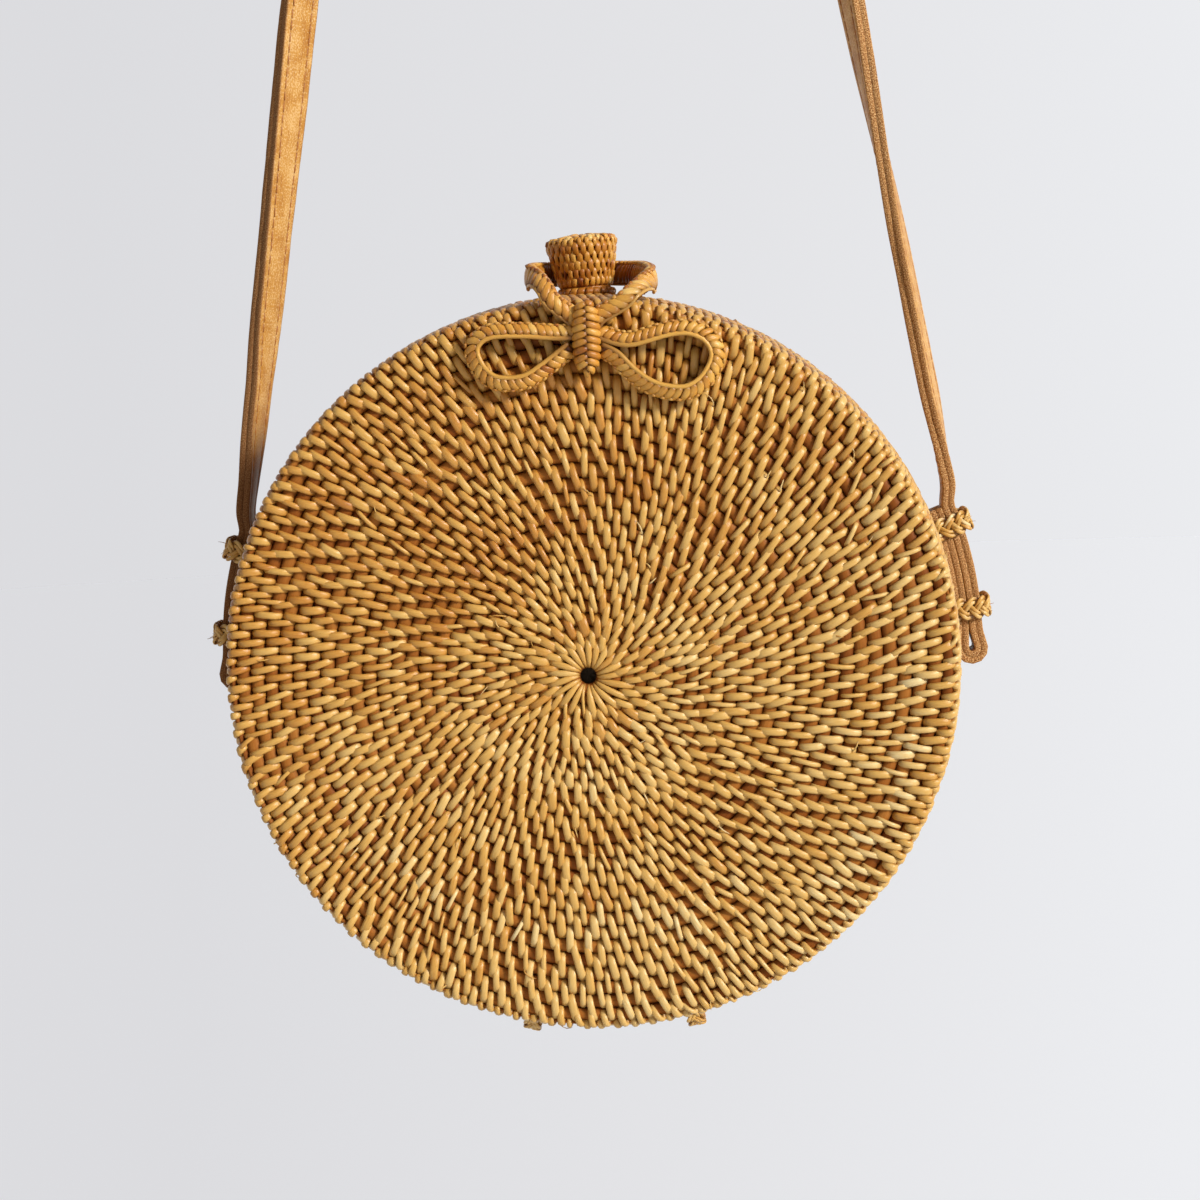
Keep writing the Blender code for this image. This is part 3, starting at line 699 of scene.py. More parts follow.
# %% Cotton
cotton, nodes, shader = new_finish("plain_cotton")
grain = nodes.mark("grain", "Vector")
warp, weft = (nodes.noise(grain, 1.0, 2.0, stretch) for stretch in ((2.6, 0.5, 1.0), (0.5, 2.6, 1.0)))
threads = nodes.maths("ADD", warp, weft)
slubs = nodes.times(nodes.noise(nodes.where(), 90.0, 3.0), 0.3)
shade = nodes.maths("MULTIPLY_ADD", threads, 0.4, slubs)
colour = nodes.ramp(shade, (0.3, (0.50, 0.40, 0.26)), (0.55, (0.66, 0.56, 0.40)), (0.8, (0.74, 0.66, 0.50)))
# painted shade: the lining's outside, seen only down the centre hole, is nearly black
colour = nodes.mix(nodes.mark("under"), colour, (0.05, 0.03, 0.015))
nodes.fill(shader, Base_Color=colour, Roughness=0.92, Sheen_Weight=0.15, Normal=nodes.bump(threads))

# %% The lining's cup
LINING_START, LINING_THICK, LINING_FLOOR = 6.3, 0.7, HALF_DEPTH - WEAVE_THICKNESS - 0.6
LINING_CORNER, LINING_GAP = 5.0, 1.1
LINING_ANGLES = np.linspace(0, TURN, 240, endpoint=False)
ROLLED_HEM = np.array([[-0.5, -0.45], [0.1, -0.75], [0.75, -0.4], [0.85, 0.5]])


def lining_cup(to_bag, seed):
    """A cup turned from one loop of (radius, depth), from the middle to the hem and back, then puckered. Returns it and
    the radius of its hem at each angle."""
    rng = np.random.default_rng(seed)
    side = lambda d: wall_radius(d) - WEAVE_THICKNESS - LINING_GAP
    low = LINING_FLOOR - LINING_CORNER
    bend = side(low) - LINING_CORNER
    corner = np.radians((22, 45, 68, 90))
    rows = [(r, LINING_FLOOR) for r in np.linspace(0.4, bend, 30)]
    rows += [(bend + LINING_CORNER * math.sin(a), low + LINING_CORNER * math.cos(a)) for a in corner]
    rows += [(side(d), d) for d in np.linspace(low - 2, LINING_START, 14)]
    inner = np.array(rows)
    ahead = unit(np.gradient(inner, axis=0))
    outer = (inner + stack(-ahead[:, 1], ahead[:, 0]) * LINING_THICK)[::-1][2:]
    loop = np.concatenate([inner, inner[-1] + ROLLED_HEM, outer])
    angles, phases = LINING_ANGLES, rng.uniform(0, TURN, 6)
    pucker = np.sin(angles * 31 + phases[0] + 1.5 * np.sin(angles * 4 + phases[1]))
    pucker += 0.6 * np.sin(angles * 53 + phases[2])
    sag = np.sin(angles * 3 + phases[3]) + 0.6 * np.sin(angles * 5 + phases[4])
    radius, depth = loop[:, :1] + 0 * angles, loop[:, 1:] + 0 * angles
    near_mouth = np.clip(1 - (depth - LINING_START) / 16, 0, 1) ** 1.5
    on_floor = np.clip((side(low) - radius) / 40, 0, 1) * np.clip((depth - low) / LINING_CORNER, 0, 1)
    sagging = 0.45 * (1 - on_floor) * np.clip((LINING_FLOOR - depth) / 9, 0, 1) * (sag + 1.2)
    radius = radius - (0.32 * near_mouth * (pucker + 1.2) + sagging) * (radius > 60)
    ripple = np.sin(radius * 0.16 + 2.2 * np.sin(angles * 2 + phases[5])) + 0.5 * np.sin(angles * 7 + radius * 0.07)
    depth = depth - 0.4 * on_floor * (ripple + 1.5)
    points = to_bag(around(radius, angles, depth)).reshape(-1, 3)
    index = np.arange(radius.size).reshape(radius.shape)
    outside = np.arange(len(loop)) >= len(inner) + len(ROLLED_HEM)
    # under marks the lining's outside, which the cotton paints as shade
    marks = {"under": np.repeat(outside, len(angles)).astype(float), "grain": points[:, [0, 2, 1]]}
    faces = [skin(index)[:, [1, 2, 3, 0]], np.stack([index[0], index[-1, ::-1]])]
    return (points, faces, marks), radius[len(inner) - 1]


def hem_stitches(to_bag, hem_radii, seed, count=118):
    """Small slanted stitches that sew the hem to the weave."""
    rng = np.random.default_rng(seed)
    at = np.linspace(0, TURN, count, endpoint=False) + rng.normal(0, 0.006, count)
    run, rise = np.linspace(-1, 1, 5), np.array([-0.1, -0.45, -0.5, -0.2, 0.7])
    radius = np.interp(at, LINING_ANGLES, hem_radii, period=TURN)[:, None] + rise + 0.3
    theta = at[:, None] + run * 0.9 / 96
    points = to_bag(around(radius, theta, LINING_START + 0.9 - run * 1.5))
    return rods(points, to_bag(around(-1.0, theta, 0.0), True), 0.26, 0.22, rng.uniform(0.5, 0.8, count))


for (half, coil, body), seed in zip(HALVES, (41, 42)):
    cup, hem_radii = lining_cup(coil.to_bag, seed)
    lining = add_piece(half + "_cotton_lining", [cup], cotton, body, (half + "_lining",))
    hem = add_piece(half + "_lining_stitches", [hem_stitches(coil.to_bag, hem_radii, seed)], straw, body)

# %% [markdown]
# ## The knob
# The knob is a small basket of its own: the same coil and the same stitches at half the size, in a darker and more
# orange grass. A wrapped ring sits under it. A turned shape with a texture would do from afar, but the rule that
# placed the big weave places this one too, so it only needs its own profile.

# %% Warm grass for the knob, bow and loop
WARM_SHADES = (0.19, 0.042, 0.004), (0.4, 0.135, 0.012), (0.59, 0.265, 0.035), (0.7, 0.385, 0.075), (0.84, 0.57, 0.2)
warm_straw = grass("orange_grass", WARM_SHADES, (0.11, 0.02, 0.0015), gloss=0.33, patch_share=0.35)

# %% The knob's weave
KNOB_SET_BACK, KNOB_HEIGHT, KNOB_TOP, KNOB_BASE, KNOB_ROUND, KNOB_FOOT = 12.3, 14.9, 10.5, 8.0, 1.9, 1.9
KNOB_ASIDE, KNOB_LEAN = 0.6, math.radians(4)  # a little to the right and leaning left: it was sewn on by hand
knob_head, knob_seat = KNOB_FOOT + KNOB_HEIGHT, wall_radius(KNOB_SET_BACK)
top_flat, flank_high = KNOB_TOP - KNOB_ROUND, knob_head - KNOB_ROUND
flank_drop = KNOB_HEIGHT - KNOB_ROUND - 0.9
knob_profile = np.concatenate([
    [[r, knob_head + 0.75 * (1 - (r / 8) ** 2)] for r in np.linspace(0, top_flat - 0.4, 12)],
    arc(top_flat, flank_high, KNOB_ROUND, 80, 0, 8),
    [[KNOB_TOP + (KNOB_BASE - KNOB_TOP) * t, flank_high - flank_drop * t] for t in np.linspace(0.06, 1, 12)],
    [[KNOB_BASE - 0.4, KNOB_FOOT + 0.35], [KNOB_BASE - 1.2, KNOB_FOOT]],
])  # fmt: skip


def on_knob(vectors, direction=False):
    return vectors if direction else vectors + np.array([KNOB_ASIDE, KNOB_SET_BACK, knob_seat])


def on_leaning_knob(vectors, direction=False):
    x, y, z = np.moveaxis(vectors, -1, 0)
    c, s = math.cos(KNOB_LEAN), math.sin(KNOB_LEAN)
    return on_knob(stack(x * c - z * s, y, z * c + x * s), direction)


KNOB_PITCH, KNOB_FIRST_STITCHES, KNOB_STITCH_LEAN = 2.4, 9, math.radians(-3)
KNOB_STITCH = {"width": 1.5, "height": 0.9, "dive": 1.6, "eye": (0.35, KNOB_FIRST_STITCHES), "lift": 0.05}
knob_coil = Coiled(knob_profile, on_leaning_knob)
knob_pitch, knob_spacing = lambda s: KNOB_PITCH, eased(1.75, 0.4, 0, 9)
rule = KNOB_FIRST_STITCHES, knob_pitch, knob_spacing, KNOB_STITCH_LEAN
knob_placed = grow(knob_coil, KNOB_PITCH, knob_coil.length - 0.9, *rule, 51)
knob_weave = knob_coil, knob_placed, knob_pitch
knob_stitches = coil_stitches(*knob_weave, KNOB_STITCH_LEAN, 52, **KNOB_STITCH, tone_wish=0.42, spread=2.4)
knob_core = coil_core(*knob_weave, 53, size=0.52, step=1.4, tone=0.3)
add_piece("knob_stitches", [knob_stitches], warm_straw, "bag", ("knob",))
add_piece("knob_core", [knob_core], core_reed, "bag")


# %% The wrapped ring under the knob
def on_tube(radius, height, size, round_knob, round_tube):
    return on_knob(around(radius + size * np.cos(round_tube), round_knob, height + size * np.sin(round_tube)))


def wrapped_ring(radius, height, size, wraps, seed):
    rng = np.random.default_rng(seed)
    at = np.linspace(0, TURN, wraps, endpoint=False)[:, None] + rng.normal(0, 0.01, (wraps, 1))
    round_tube = np.radians(np.linspace(-118, 118, 8))
    theta = at + 0.03 * np.sin(round_tube)
    outward = around(np.cos(round_tube), theta, np.sin(round_tube))
    wide, shade = math.pi * radius / wraps * 1.08, np.clip(rng.normal(0.4, 0.13, wraps), 0, 1)
    return rods(on_tube(radius, height, size, theta, round_tube), outward, wide, 0.3, shade)


def tube_ring(radius, height, size, count=64):
    theta = np.linspace(0, TURN, count, endpoint=False)[:, None]
    points = on_tube(radius, height, size, theta, RING).reshape(-1, 3)
    index = np.arange(len(points)).reshape(count, SIDES)
    flat = np.zeros(len(points))
    # the filler tubes under the wraps get a little painted shade through under
    marks = {"tone": flat + 0.3, "end": flat, "under": flat + 0.3, "grain": points}
    return points, [skin(np.concatenate([index, index[:1]]))], marks


RING_TUBES = ((6.9, 0.85, 0.85), (5.4, 1.6, 1.7), (4.6, 3.0, 1.9))  # radius, height and size of each
ring_parts = [wrapped_ring(7.2, 0.85, 0.98, 22, 54), *(tube_ring(*tube) for tube in RING_TUBES)]
add_piece("knob_ring_wraps", ring_parts, warm_straw, "bag", ("knob_base_ring",))

# %% [markdown]
# ## Plaits
# The bow and the closing loop are one kind of plait: a fine cord runs along one edge, and plump strands lean across
# the band and curl over its other edge. A textured ribbon would lie flat in side views. Here a plait is built along
# any route from three sets of rods, the cord, the leaning strands on both faces and a core that closes it.


# %% Smooth routes
def smooth_route(points, spacing=0.5):
    """A rounded line through the points, with equal steps. Returns it and how far along it each of its points lies."""
    points = np.asarray(points, float)
    ends = np.concatenate([[2 * points[0] - points[1]], points, [2 * points[-1] - points[-2]]])
    t = np.linspace(0, 1, 24, endpoint=False)[:, None]
    a, b, c, d = ends[:-3, None], ends[1:-2, None], ends[2:-1, None], ends[3:, None]
    curve = 0.5 * (2 * b + (c - a) * t + (2 * a - 5 * b + 4 * c - d) * t**2 + (3 * b - a - 3 * c + d) * t**3)
    curve = np.concatenate([curve.reshape(-1, points.shape[1]), points[-1:]])
    run = length_along(curve[:, :3])
    even = np.linspace(0, run[-1], max(int(run[-1] / spacing), 4))
    return look_up(run, curve, even), even


def one_rod(line, outward, half_width, half_height, tone, squareness):
    return rods(line[None], outward[None], half_width, half_height, np.array([tone]), squareness)


# %% A plait along a route
STRAND_ACROSS = np.array([-0.62, -0.3, 0.1, 0.5, 0.86, 1.0, 0.9])
STRAND_RISE = np.array([0.34, 0.5, 0.5, 0.4, 0.2, -0.15, -0.5])
STRAND_AHEAD = np.array([-0.8, -0.45, -0.05, 0.4, 0.75, 0.9, 0.95])
STRAND_FACING = np.array([(1, -0.1), (1, 0), (1, 0.1), (0.9, 0.4), (0.6, 0.8), (0.15, 1), (-0.3, 1)])  # out and aside
STRAND_SWELL = np.array([0.62, 0.92, 1.0, 1.0, 0.95, 0.8, 0.6])
# STRAND_END paints shade where a strand dives under the cord and curls round the far edge
STRAND_END = [1, 0.86, 0.6, 0.2, 0, 0.3, 0.7]


def plait(route, run, side, face, seed, width, spacing, slant, thick=2.3, cord=0.68, tone=0.5, plump=0.66, inside=0.0):
    """side points from the cord's edge across the band, and face out of its shown face. width may change along the run,
    and inside paints shade on the hidden face by darkening its strands."""
    rng = np.random.default_rng(seed)
    side = unit(side)
    face = unit(face - (face * side).sum(-1, keepdims=True) * side)
    table = stack(*route.T, *side.T, *face.T, np.broadcast_to(width, run.shape) / 2)
    at_places = lambda at: np.split(look_up(run, table, at), (3, 6, 9), -1)
    place, across, out, half = at_places(np.linspace(0, run[-1], max(int(run[-1] / 0.8), 6)))
    edge = place - across * (half - cord) + out * (thick / 2 - cord * 0.45)
    parts = [one_rod(edge, out, cord, cord * 0.9, tone + 0.12, 1.0)]
    parts.append(one_rod(place - out * 0.1, out, half[:, 0] - 0.75, thick / 2 - 0.45, tone - 0.25, 0.8))
    for number, sign in enumerate((1, -1)):
        at = np.arange(spacing * (0.4 + 0.3 * number), run[-1] - slant * 0.6, spacing)
        at = at + rng.normal(0, spacing * 0.05, len(at))
        place, across, out, half = at_places(np.clip(at[:, None] + STRAND_AHEAD * slant, 0, run[-1]))
        points = place + across * (STRAND_ACROSS[:, None] * half) + out * (STRAND_RISE * thick * sign)[:, None]
        outward = out * (sign * STRAND_FACING[:, :1]) + across * STRAND_FACING[:, 1:]
        wide = spacing * 0.5 * (1.04 + rng.normal(0, 0.06, len(at)))[:, None] * STRAND_SWELL
        shade = np.clip(tone - inside * number + rng.normal(0, 0.12, len(at)), 0, 1)
        part = rods(points, outward, wide, np.minimum(wide, 0.75) * plump, shade)
        part[2]["end"] = np.tile(np.repeat(STRAND_END, SIDES), len(at))
        parts.append(part)
    return parts


# %% [markdown]
# ## The bow
# A bow of the same plait lies under the knob: two loops, one a little larger, and a wrap round their crossing that
# also holds the closing loop's legs. A symmetric bow would be shorter to write, but a hand-tied one is not
# symmetric. The loops follow the centre lines of the solids, and the wrap is bead after bead in two leaning
# columns.

# %% The bow's loops
BOW_X, BOW_Z, FACE_Y = 3.4, 89.8, -HALF_DEPTH
LEFT_SHARES = (
    (0.00, 0.10), (0.17, 0.10), (0.50, 0.17), (0.83, 0.17), (0.98, -0.02), (1.00, -0.28), (0.92, -0.62),
    (0.77, -0.83), (0.50, -0.82), (0.27, -0.55), (0.03, -0.19),
)  # fmt: skip
RIGHT_SHARES = (
    (0.00, 0.06), (0.15, -0.05), (0.28, -0.08), (0.43, -0.02), (0.62, 0.06), (0.79, 0.06), (0.93, -0.07),
    (1.00, -0.28), (0.99, -0.51), (0.89, -0.79), (0.75, -0.94), (0.59, -0.93), (0.43, -0.83), (0.27, -0.61),
    (0.13, -0.33), (0.00, -0.19),
)  # fmt: skip


def bow_loop(sign, length, height, shares, seed):
    """shares are places along and across the loop, as shares of its length and height."""
    along, across = np.array(shares).T
    deep = FACE_Y - 2.3 - 0.9 * np.sin(math.pi * np.minimum(along, 1))
    route, run = smooth_route(stack(BOW_X + sign * (3.4 + along * length), deep, BOW_Z + across * height))
    ahead = np.gradient(route, axis=0)
    side = stack(ahead[:, 2], 0.0, -ahead[:, 0])
    side *= np.sign((side * (route - route.mean(0))).sum(-1).mean())
    side = unit(side) + np.array([0, 0.28, 0])
    return plait(route, run, side, np.array([0, -1.0, 0]), seed, width=4.4, spacing=2.0, slant=1.2, tone=0.55)


for name, *loop in (("left", -1, 26.9, 13.0, LEFT_SHARES, 61), ("right", 1, 30.6, 16.2, RIGHT_SHARES, 62)):
    add_piece("bow_plait_" + name, bow_loop(*loop), warm_straw, "lid", ("bow_loop_" + name,))

# %% The wrap round the bow's crossing
WRAP_WIDE, WRAP_DEEP, WRAP_HIGH = 3.75, 3.1, 9.5  # half its sizes
BEAD_TURNS = np.radians([-4, 14, 34, 56, 78, 100, 124, 150])
BEAD_SWELL = np.array([0.6, 0.9, 1, 1, 1, 0.95, 0.85, 0.6])


def bow_wrap(seed):
    rng = np.random.default_rng(seed)
    middle = np.array([BOW_X, FACE_Y - 0.3 - WRAP_DEEP, BOW_Z])
    size_at = lambda z: np.sqrt(np.clip(1 - np.abs(z / WRAP_HIGH) ** 3.2, 0.02, 1))
    parts, heights = [], np.arange(-WRAP_HIGH + 1.0, WRAP_HIGH - 0.4, 1.95)[:, None]
    for sign, start in ((-1, -0.3), (1, 0.5)):
        turns = BEAD_TURNS * sign
        z = heights + rng.normal(0, 0.08, heights.shape) + start - 1.15 * np.sin(np.abs(turns) * 0.9)
        size = 0.9 * size_at(z)
        points = middle + stack(WRAP_WIDE * size * np.sin(turns), -WRAP_DEEP * size * np.cos(turns), z)
        outward = stack(np.sin(turns), -np.cos(turns), 0.12 * z / WRAP_HIGH)
        shade = np.clip(rng.normal(0.5, 0.13, len(z)), 0, 1)
        parts.append(rods(points, outward, 0.98 * BEAD_SWELL, 0.62 * BEAD_SWELL, shade, 0.95))
    z = np.linspace(-WRAP_HIGH + 0.5, WRAP_HIGH - 0.5, 14)
    line, size = middle + stack(0.0, 0.0, z), size_at(z)
    forward = np.broadcast_to([0, -1.0, 0], line.shape)
    parts.append(one_rod(line, forward, WRAP_WIDE * 0.78 * size, WRAP_DEEP * 0.74 * size, 0.2, 1.0))
    return parts


add_piece("bow_wrap", bow_wrap(63), warm_straw, "lid", ("bow_knot",))

# %% [markdown]
# ## The closing loop
# The loop starts in the bow's wrap, runs back over the rim on both sides and round the knob. It is a band that
# stands on its edge, and only turns flat where its legs reach the face. A round cord would need no turning, but it
# would miss the tall dark inner face that shows beside the knob.

# %% The loop round the knob
PLAIT_RADIUS, LOOP_BACK_RISE, LOOP_GAP = 1.9, 3.7, 0.3
LEFT_LOOP_ROUTE = (
    (-5.6, -40.6, -4.8), (-7.3, -39.3, -1.9), (-9.2, -36.0, 0.4), (-11.0, -31.0, 1.4), (-12.2, -24.5, 1.9),
    (-12.8, -15.0, 2.4), (-13.0, -3.0, 2.9), (-12.6, 8.0, 3.3), (-9.9, 18.9, 3.6),
)  # fmt: skip
RIGHT_LOOP_ROUTE = (
    (13.2, -40.6, -6.0), (15.4, -40.2, -4.2), (17.5, -37.5, -2.5), (19.2, -33.5, -1.3), (20.2, -28.0, -0.6),
    (20.5, -22.0, 0.1), (19.7, -13.0, 1.0), (18.1, -3.0, 1.9), (15.8, 8.0, 2.5), (10.8, 18.7, 3.0),
)  # fmt: skip
loop_back = KNOB_SET_BACK + KNOB_TOP + LOOP_GAP + PLAIT_RADIUS
loop_low = FACE_RADIUS + WALL_BULGE + LOOP_GAP + PLAIT_RADIUS


def closing_loop(seed):
    foot, rim = np.array([BOW_X, FACE_Y - LOOP_GAP - PLAIT_RADIUS, BOW_Z + 9.8]), np.array([0, 0, loop_low + 0.2])
    sides = []
    for sign, way in ((-1, LEFT_LOOP_ROUTE), (1, RIGHT_LOOP_ROUTE)):
        leg = foot + [[sign * 1.8, 0.6, -7.0], [sign * 3.7, 0.2, -4.4]]
        sides.append(np.concatenate([leg, rim + way]))
    back = rim + [[0.4, loop_back, LOOP_BACK_RISE]]
    route, run = smooth_route(np.concatenate([sides[0], back, sides[1][::-1]]))
    ahead = unit(np.gradient(route, axis=0))
    standing = np.clip((route[:, 1:2] - FACE_Y + 1.5) / 12, 0, 1)
    lying = stack(-np.sign(route[:, 0] - BOW_X), 0.0, 0.4)
    upright = np.array([0, 0, 1.0]) * standing + (1 - standing) * lying
    side = unit(upright - (upright * ahead).sum(-1, keepdims=True) * ahead)
    outward = np.cross(side, ahead)
    outward *= np.sign((outward * (route - np.array([0, KNOB_SET_BACK, loop_low]))).sum(-1).mean())
    band = {"width": 4.6 + 2.1 * standing[:, 0] ** 2, "spacing": 2.35, "slant": 2.1, "cord": 0.5, "plump": 0.85}
    # inside: painted shade on the loop's inner face beside the knob
    return plait(route, run, side, outward, seed, **band, tone=0.64, inside=0.38)


loop_piece = add_piece("closing_loop_plait", closing_loop(64), warm_straw, None, ("closing_loop",))
low_end, high_end = in_room([[0, 0, 94.5], [0, 0, 101.0]])
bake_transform(loop_piece)

# %% [markdown]
# ## The strap
# The strap is two layers of leather, back to back and sewn along both edges. It hangs over a hook and runs down to
# the bag, where each end passes two ties, folds and comes up again beside the wall. A ribbon with a thickness would
# look like card. Each layer is one long strip with a rounded section instead, pinched where it is sewn, so the raw
# edges, the join between the layers and the fold all show.

# %% The strap's middle line
STRAP_BACK, SEWN_AT = 9.5, 3.25
TAIL_RADIUS, RUN_RADIUS, FOLD_SIZE, ARCH = 104.15, 108.05, 2.7, 19.9
HOOK, BEND = np.array([0, 525.9]), np.array([101.6, 43.9])
TAIL_TOP, FLARE, FOLD_AT = 20.57, 1.2, -1.8  # angles up the wall, in degrees
TWIST_PLACES = np.array([0, 0.06, 0.13, 0.30, 0.62, 1.0])
LEFT_TWISTS, RIGHT_TWISTS = np.array([0, -14, -28, -45, -27, 0.0]), np.array([0, -16, -14, 21, 14, 0.0])


def eased_twist(share, twists):
    spot = np.clip(np.searchsorted(TWIST_PLACES, share, side="right") - 1, 0, len(TWIST_PLACES) - 2)
    t = (share - TWIST_PLACES[spot]) / (TWIST_PLACES[spot + 1] - TWIST_PLACES[spot])
    return np.radians(twists[spot] + (twists[spot + 1] - twists[spot]) * t * t * (3 - 2 * t))


def polar(degrees, radius):
    return stack(radius * np.cos(np.radians(degrees)), radius * np.sin(np.radians(degrees)))


def strap_side(sign, twists):
    """Rows from the tail's end, round the fold and up to the hook: middle, direction across, direction out."""
    tail, rise = np.linspace(TAIL_TOP, FOLD_AT, 14), np.linspace(FOLD_AT, TAIL_TOP, 18)[1:]
    fold = np.linspace(FOLD_AT - 180, FOLD_AT, 13)[1:]
    rise_radius = np.interp(rise, [FOLD_AT, FLARE], [TAIL_RADIUS + 2 * FOLD_SIZE, RUN_RADIUS])
    span = np.linalg.norm(HOOK - BEND)
    lean = math.atan2(BEND[0], HOOK[1] - BEND[1]) - math.asin(ARCH / span)
    share, length = np.linspace(0, 1, 60)[:, None], math.sqrt(span**2 - ARCH**2)
    arch = np.linspace(math.degrees(lean), 90, 14)[1:]
    tangent, facing = np.array([-math.sin(lean), math.cos(lean)]), [math.cos(lean), math.sin(lean)]
    stretches = [
        (polar(tail, TAIL_RADIUS), -polar(tail, 1)),
        (polar(FOLD_AT, TAIL_RADIUS + FOLD_SIZE) + polar(fold, FOLD_SIZE), polar(fold, 1)),
        (polar(rise, rise_radius), polar(rise, 1)),
        (BEND + tangent * (length * share), np.broadcast_to(facing, (len(share), 2))),
        (HOOK + polar(arch, ARCH), polar(arch, 1)),
    ]
    flat, facing = (np.concatenate(rows) for rows in zip(*stretches))
    twist = np.zeros(len(flat))
    twist[-len(share) - len(arch) : -len(arch)] = eased_twist(share[:, 0], twists)
    out, back = stack(sign * facing[:, 0], 0.0, facing[:, 1]), np.array([0, 1.0, 0])
    c, s = np.cos(twist)[:, None], sign * np.sin(twist)[:, None]
    middle = stack(sign * flat[:, 0], STRAP_BACK, flat[:, 1])
    return np.concatenate([middle, back * c - out * s, out * c + back * s], -1)


left_side, right_side = strap_side(-1, LEFT_TWISTS), strap_side(1, RIGHT_TWISTS)
strap_line, strap_run = smooth_route(np.concatenate([left_side[:-1], right_side[::-1]]), 1.5)
print("the strap is", round(strap_run[-1]), "mm long with its folded ends")

# %% Leather
leather, nodes, shader = new_finish("tan_leather")
hide, edge = nodes.mark("grain", "Vector"), nodes.mark("edge")
clouds = nodes.noise(hide, 0.16)
pebbles = nodes.noise(hide, 2.3, 3.0, (1.0, 0.75, 1.0))
creases = nodes.noise(hide, 1.0, 3.0, (2.1, 0.10, 1.0))
nap = nodes.noise(hide, 3.4, 3.0, (1.0, 0.8, 1.0))
FACE_SHADES = (0.25, (0.38, 0.15, 0.02)), (0.5, (0.5, 0.235, 0.04)), (0.75, (0.57, 0.3, 0.068))
SUEDE_SHADES = (0.08, 0.024, 0.006), (0.32, 0.13, 0.036), (0.56, 0.31, 0.115), (0.86, 0.62, 0.33)
SUEDE = tuple(zip((0.34, 0.46, 0.58, 0.7), SUEDE_SHADES))
face_colour = nodes.ramp(nodes.swing(creases, 0.9, clouds), *FACE_SHADES)
# painted highlights: pale specks on the tops of the pebbled grain
pebble_glints = nodes.ramp(nodes.swing(clouds, 0.35, pebbles), (0.50, BLACK), (0.60, WHITE))
face_colour = nodes.mix(nodes.times(pebble_glints, 0.6), face_colour, (0.74, 0.50, 0.24))
colour = nodes.mix(edge, face_colour, nodes.ramp(nap, *SUEDE))
# painted shade in the groove where the stitches pinch the layers
colour = nodes.mix(nodes.times(nodes.mark("sewn"), 0.3), colour, (0.26, 0.09, 0.018))
# painted shade on the left strap: the bag's shadow over its low part, and shade on its edges
left_end = nodes.spread(nodes.one_of(nodes.where(), 0), From_Min=-0.03, From_Max=-0.06)
low_end = nodes.spread(nodes.one_of(nodes.where(), 2), From_Min=-0.486, From_Max=-0.466, To_Min=0.72, To_Max=0.0)
left_strap_shade = nodes.times(left_end, nodes.maths("MAXIMUM", low_end, nodes.times(edge, 0.55)))
colour = nodes.mix(left_strap_shade, colour, (0.13, 0.042, 0.010))
rough = nodes.spread(edge, To_Min=0.44, To_Max=0.9)
relief = nodes.bump(nodes.maths("MULTIPLY_ADD", creases, 0.7, pebbles))
nodes.fill(shader, Base_Color=colour, Roughness=rough, Specular_IOR_Level=0.3, Normal=relief)

# %% One layer of the strap
HALF_SECTION = np.array([
    (5.24, 0.08, 1, 0), (5.27, 1.55, 1, 0), (5.16, 1.82, 0.75, 0), (4.75, 1.91, 0, 0), (3.75, 1.89, 0, 0),
    (3.45, 1.80, 0, 0.3), (3.25, 1.64, 0, 1), (3.05, 1.80, 0, 0.3), (2.7, 1.9, 0, 0), (1.3, 1.96, 0, 0),
])  # fmt: skip
JOIN = [(across, 0.02, 1, 0) for across in (5.17, 2.4, -2.4, -5.17)]
SECTION = np.concatenate([HALF_SECTION * [-1, 1, 1, 1], [(0, 1.98, 0, 0)], HALF_SECTION[::-1], JOIN])


def strap_layer(sign, seed):
    """The section's columns are across, height, edge and sewn."""
    rng = np.random.default_rng(seed)
    slow = lambda size, reach: wandering(rng, strap_run, reach, 0, size)
    u, v, edge, sewn = SECTION.T
    middle, across, normal = strap_line[:, :3], unit(strap_line[:, 3:6]), unit(strap_line[:, 6:])
    left_edge, right_edge = (1 + (slow(0.012, 9) + slow(0.007, 3))[:, None] for _ in range(2))
    wide = np.where(u < 0, u * left_edge, u * right_edge)
    high = v * (1 + slow(0.02, 14)[:, None]) * sign
    points = middle[:, None] + across[:, None] * wide[..., None] + normal[:, None] * high[..., None]
    index = np.arange(wide.size).reshape(wide.shape)
    faces = [skin(index), np.stack([index[0], index[-1, ::-1]])]
    if sign > 0:
        faces = [corners[:, ::-1] for corners in faces]
    every = lambda values: np.broadcast_to(values, wide.shape).ravel()
    grain = stack(every(length_along(SECTION[:, :2])), every(strap_run[:, None]), 30.0 * sign)
    return points.reshape(-1, 3), faces, {"edge": every(edge), "sewn": every(sewn), "grain": grain}


def blended_strap_piece(name, parts, finish, stands_for):
    made = add_piece(name, parts, finish, None, stands_for)
    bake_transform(made)


blended_strap_piece("strap_outer_layer", [strap_layer(1, 71)], leather, ("strap_outer_leather", "strap_end_left"))
blended_strap_piece("strap_inner_layer", [strap_layer(-1, 72)], leather, ("strap_inner_leather", "strap_end_right"))

# %% [markdown]
# ## The strap's thread
# Two rows of saddle stitch hold the layers together. The thread is thin and dark, and every stitch sinks a little
# into the leather at both ends. A dashed line painted on the leather would be enough from afar. Real stitches catch
# the light near to, so each is a short rod.

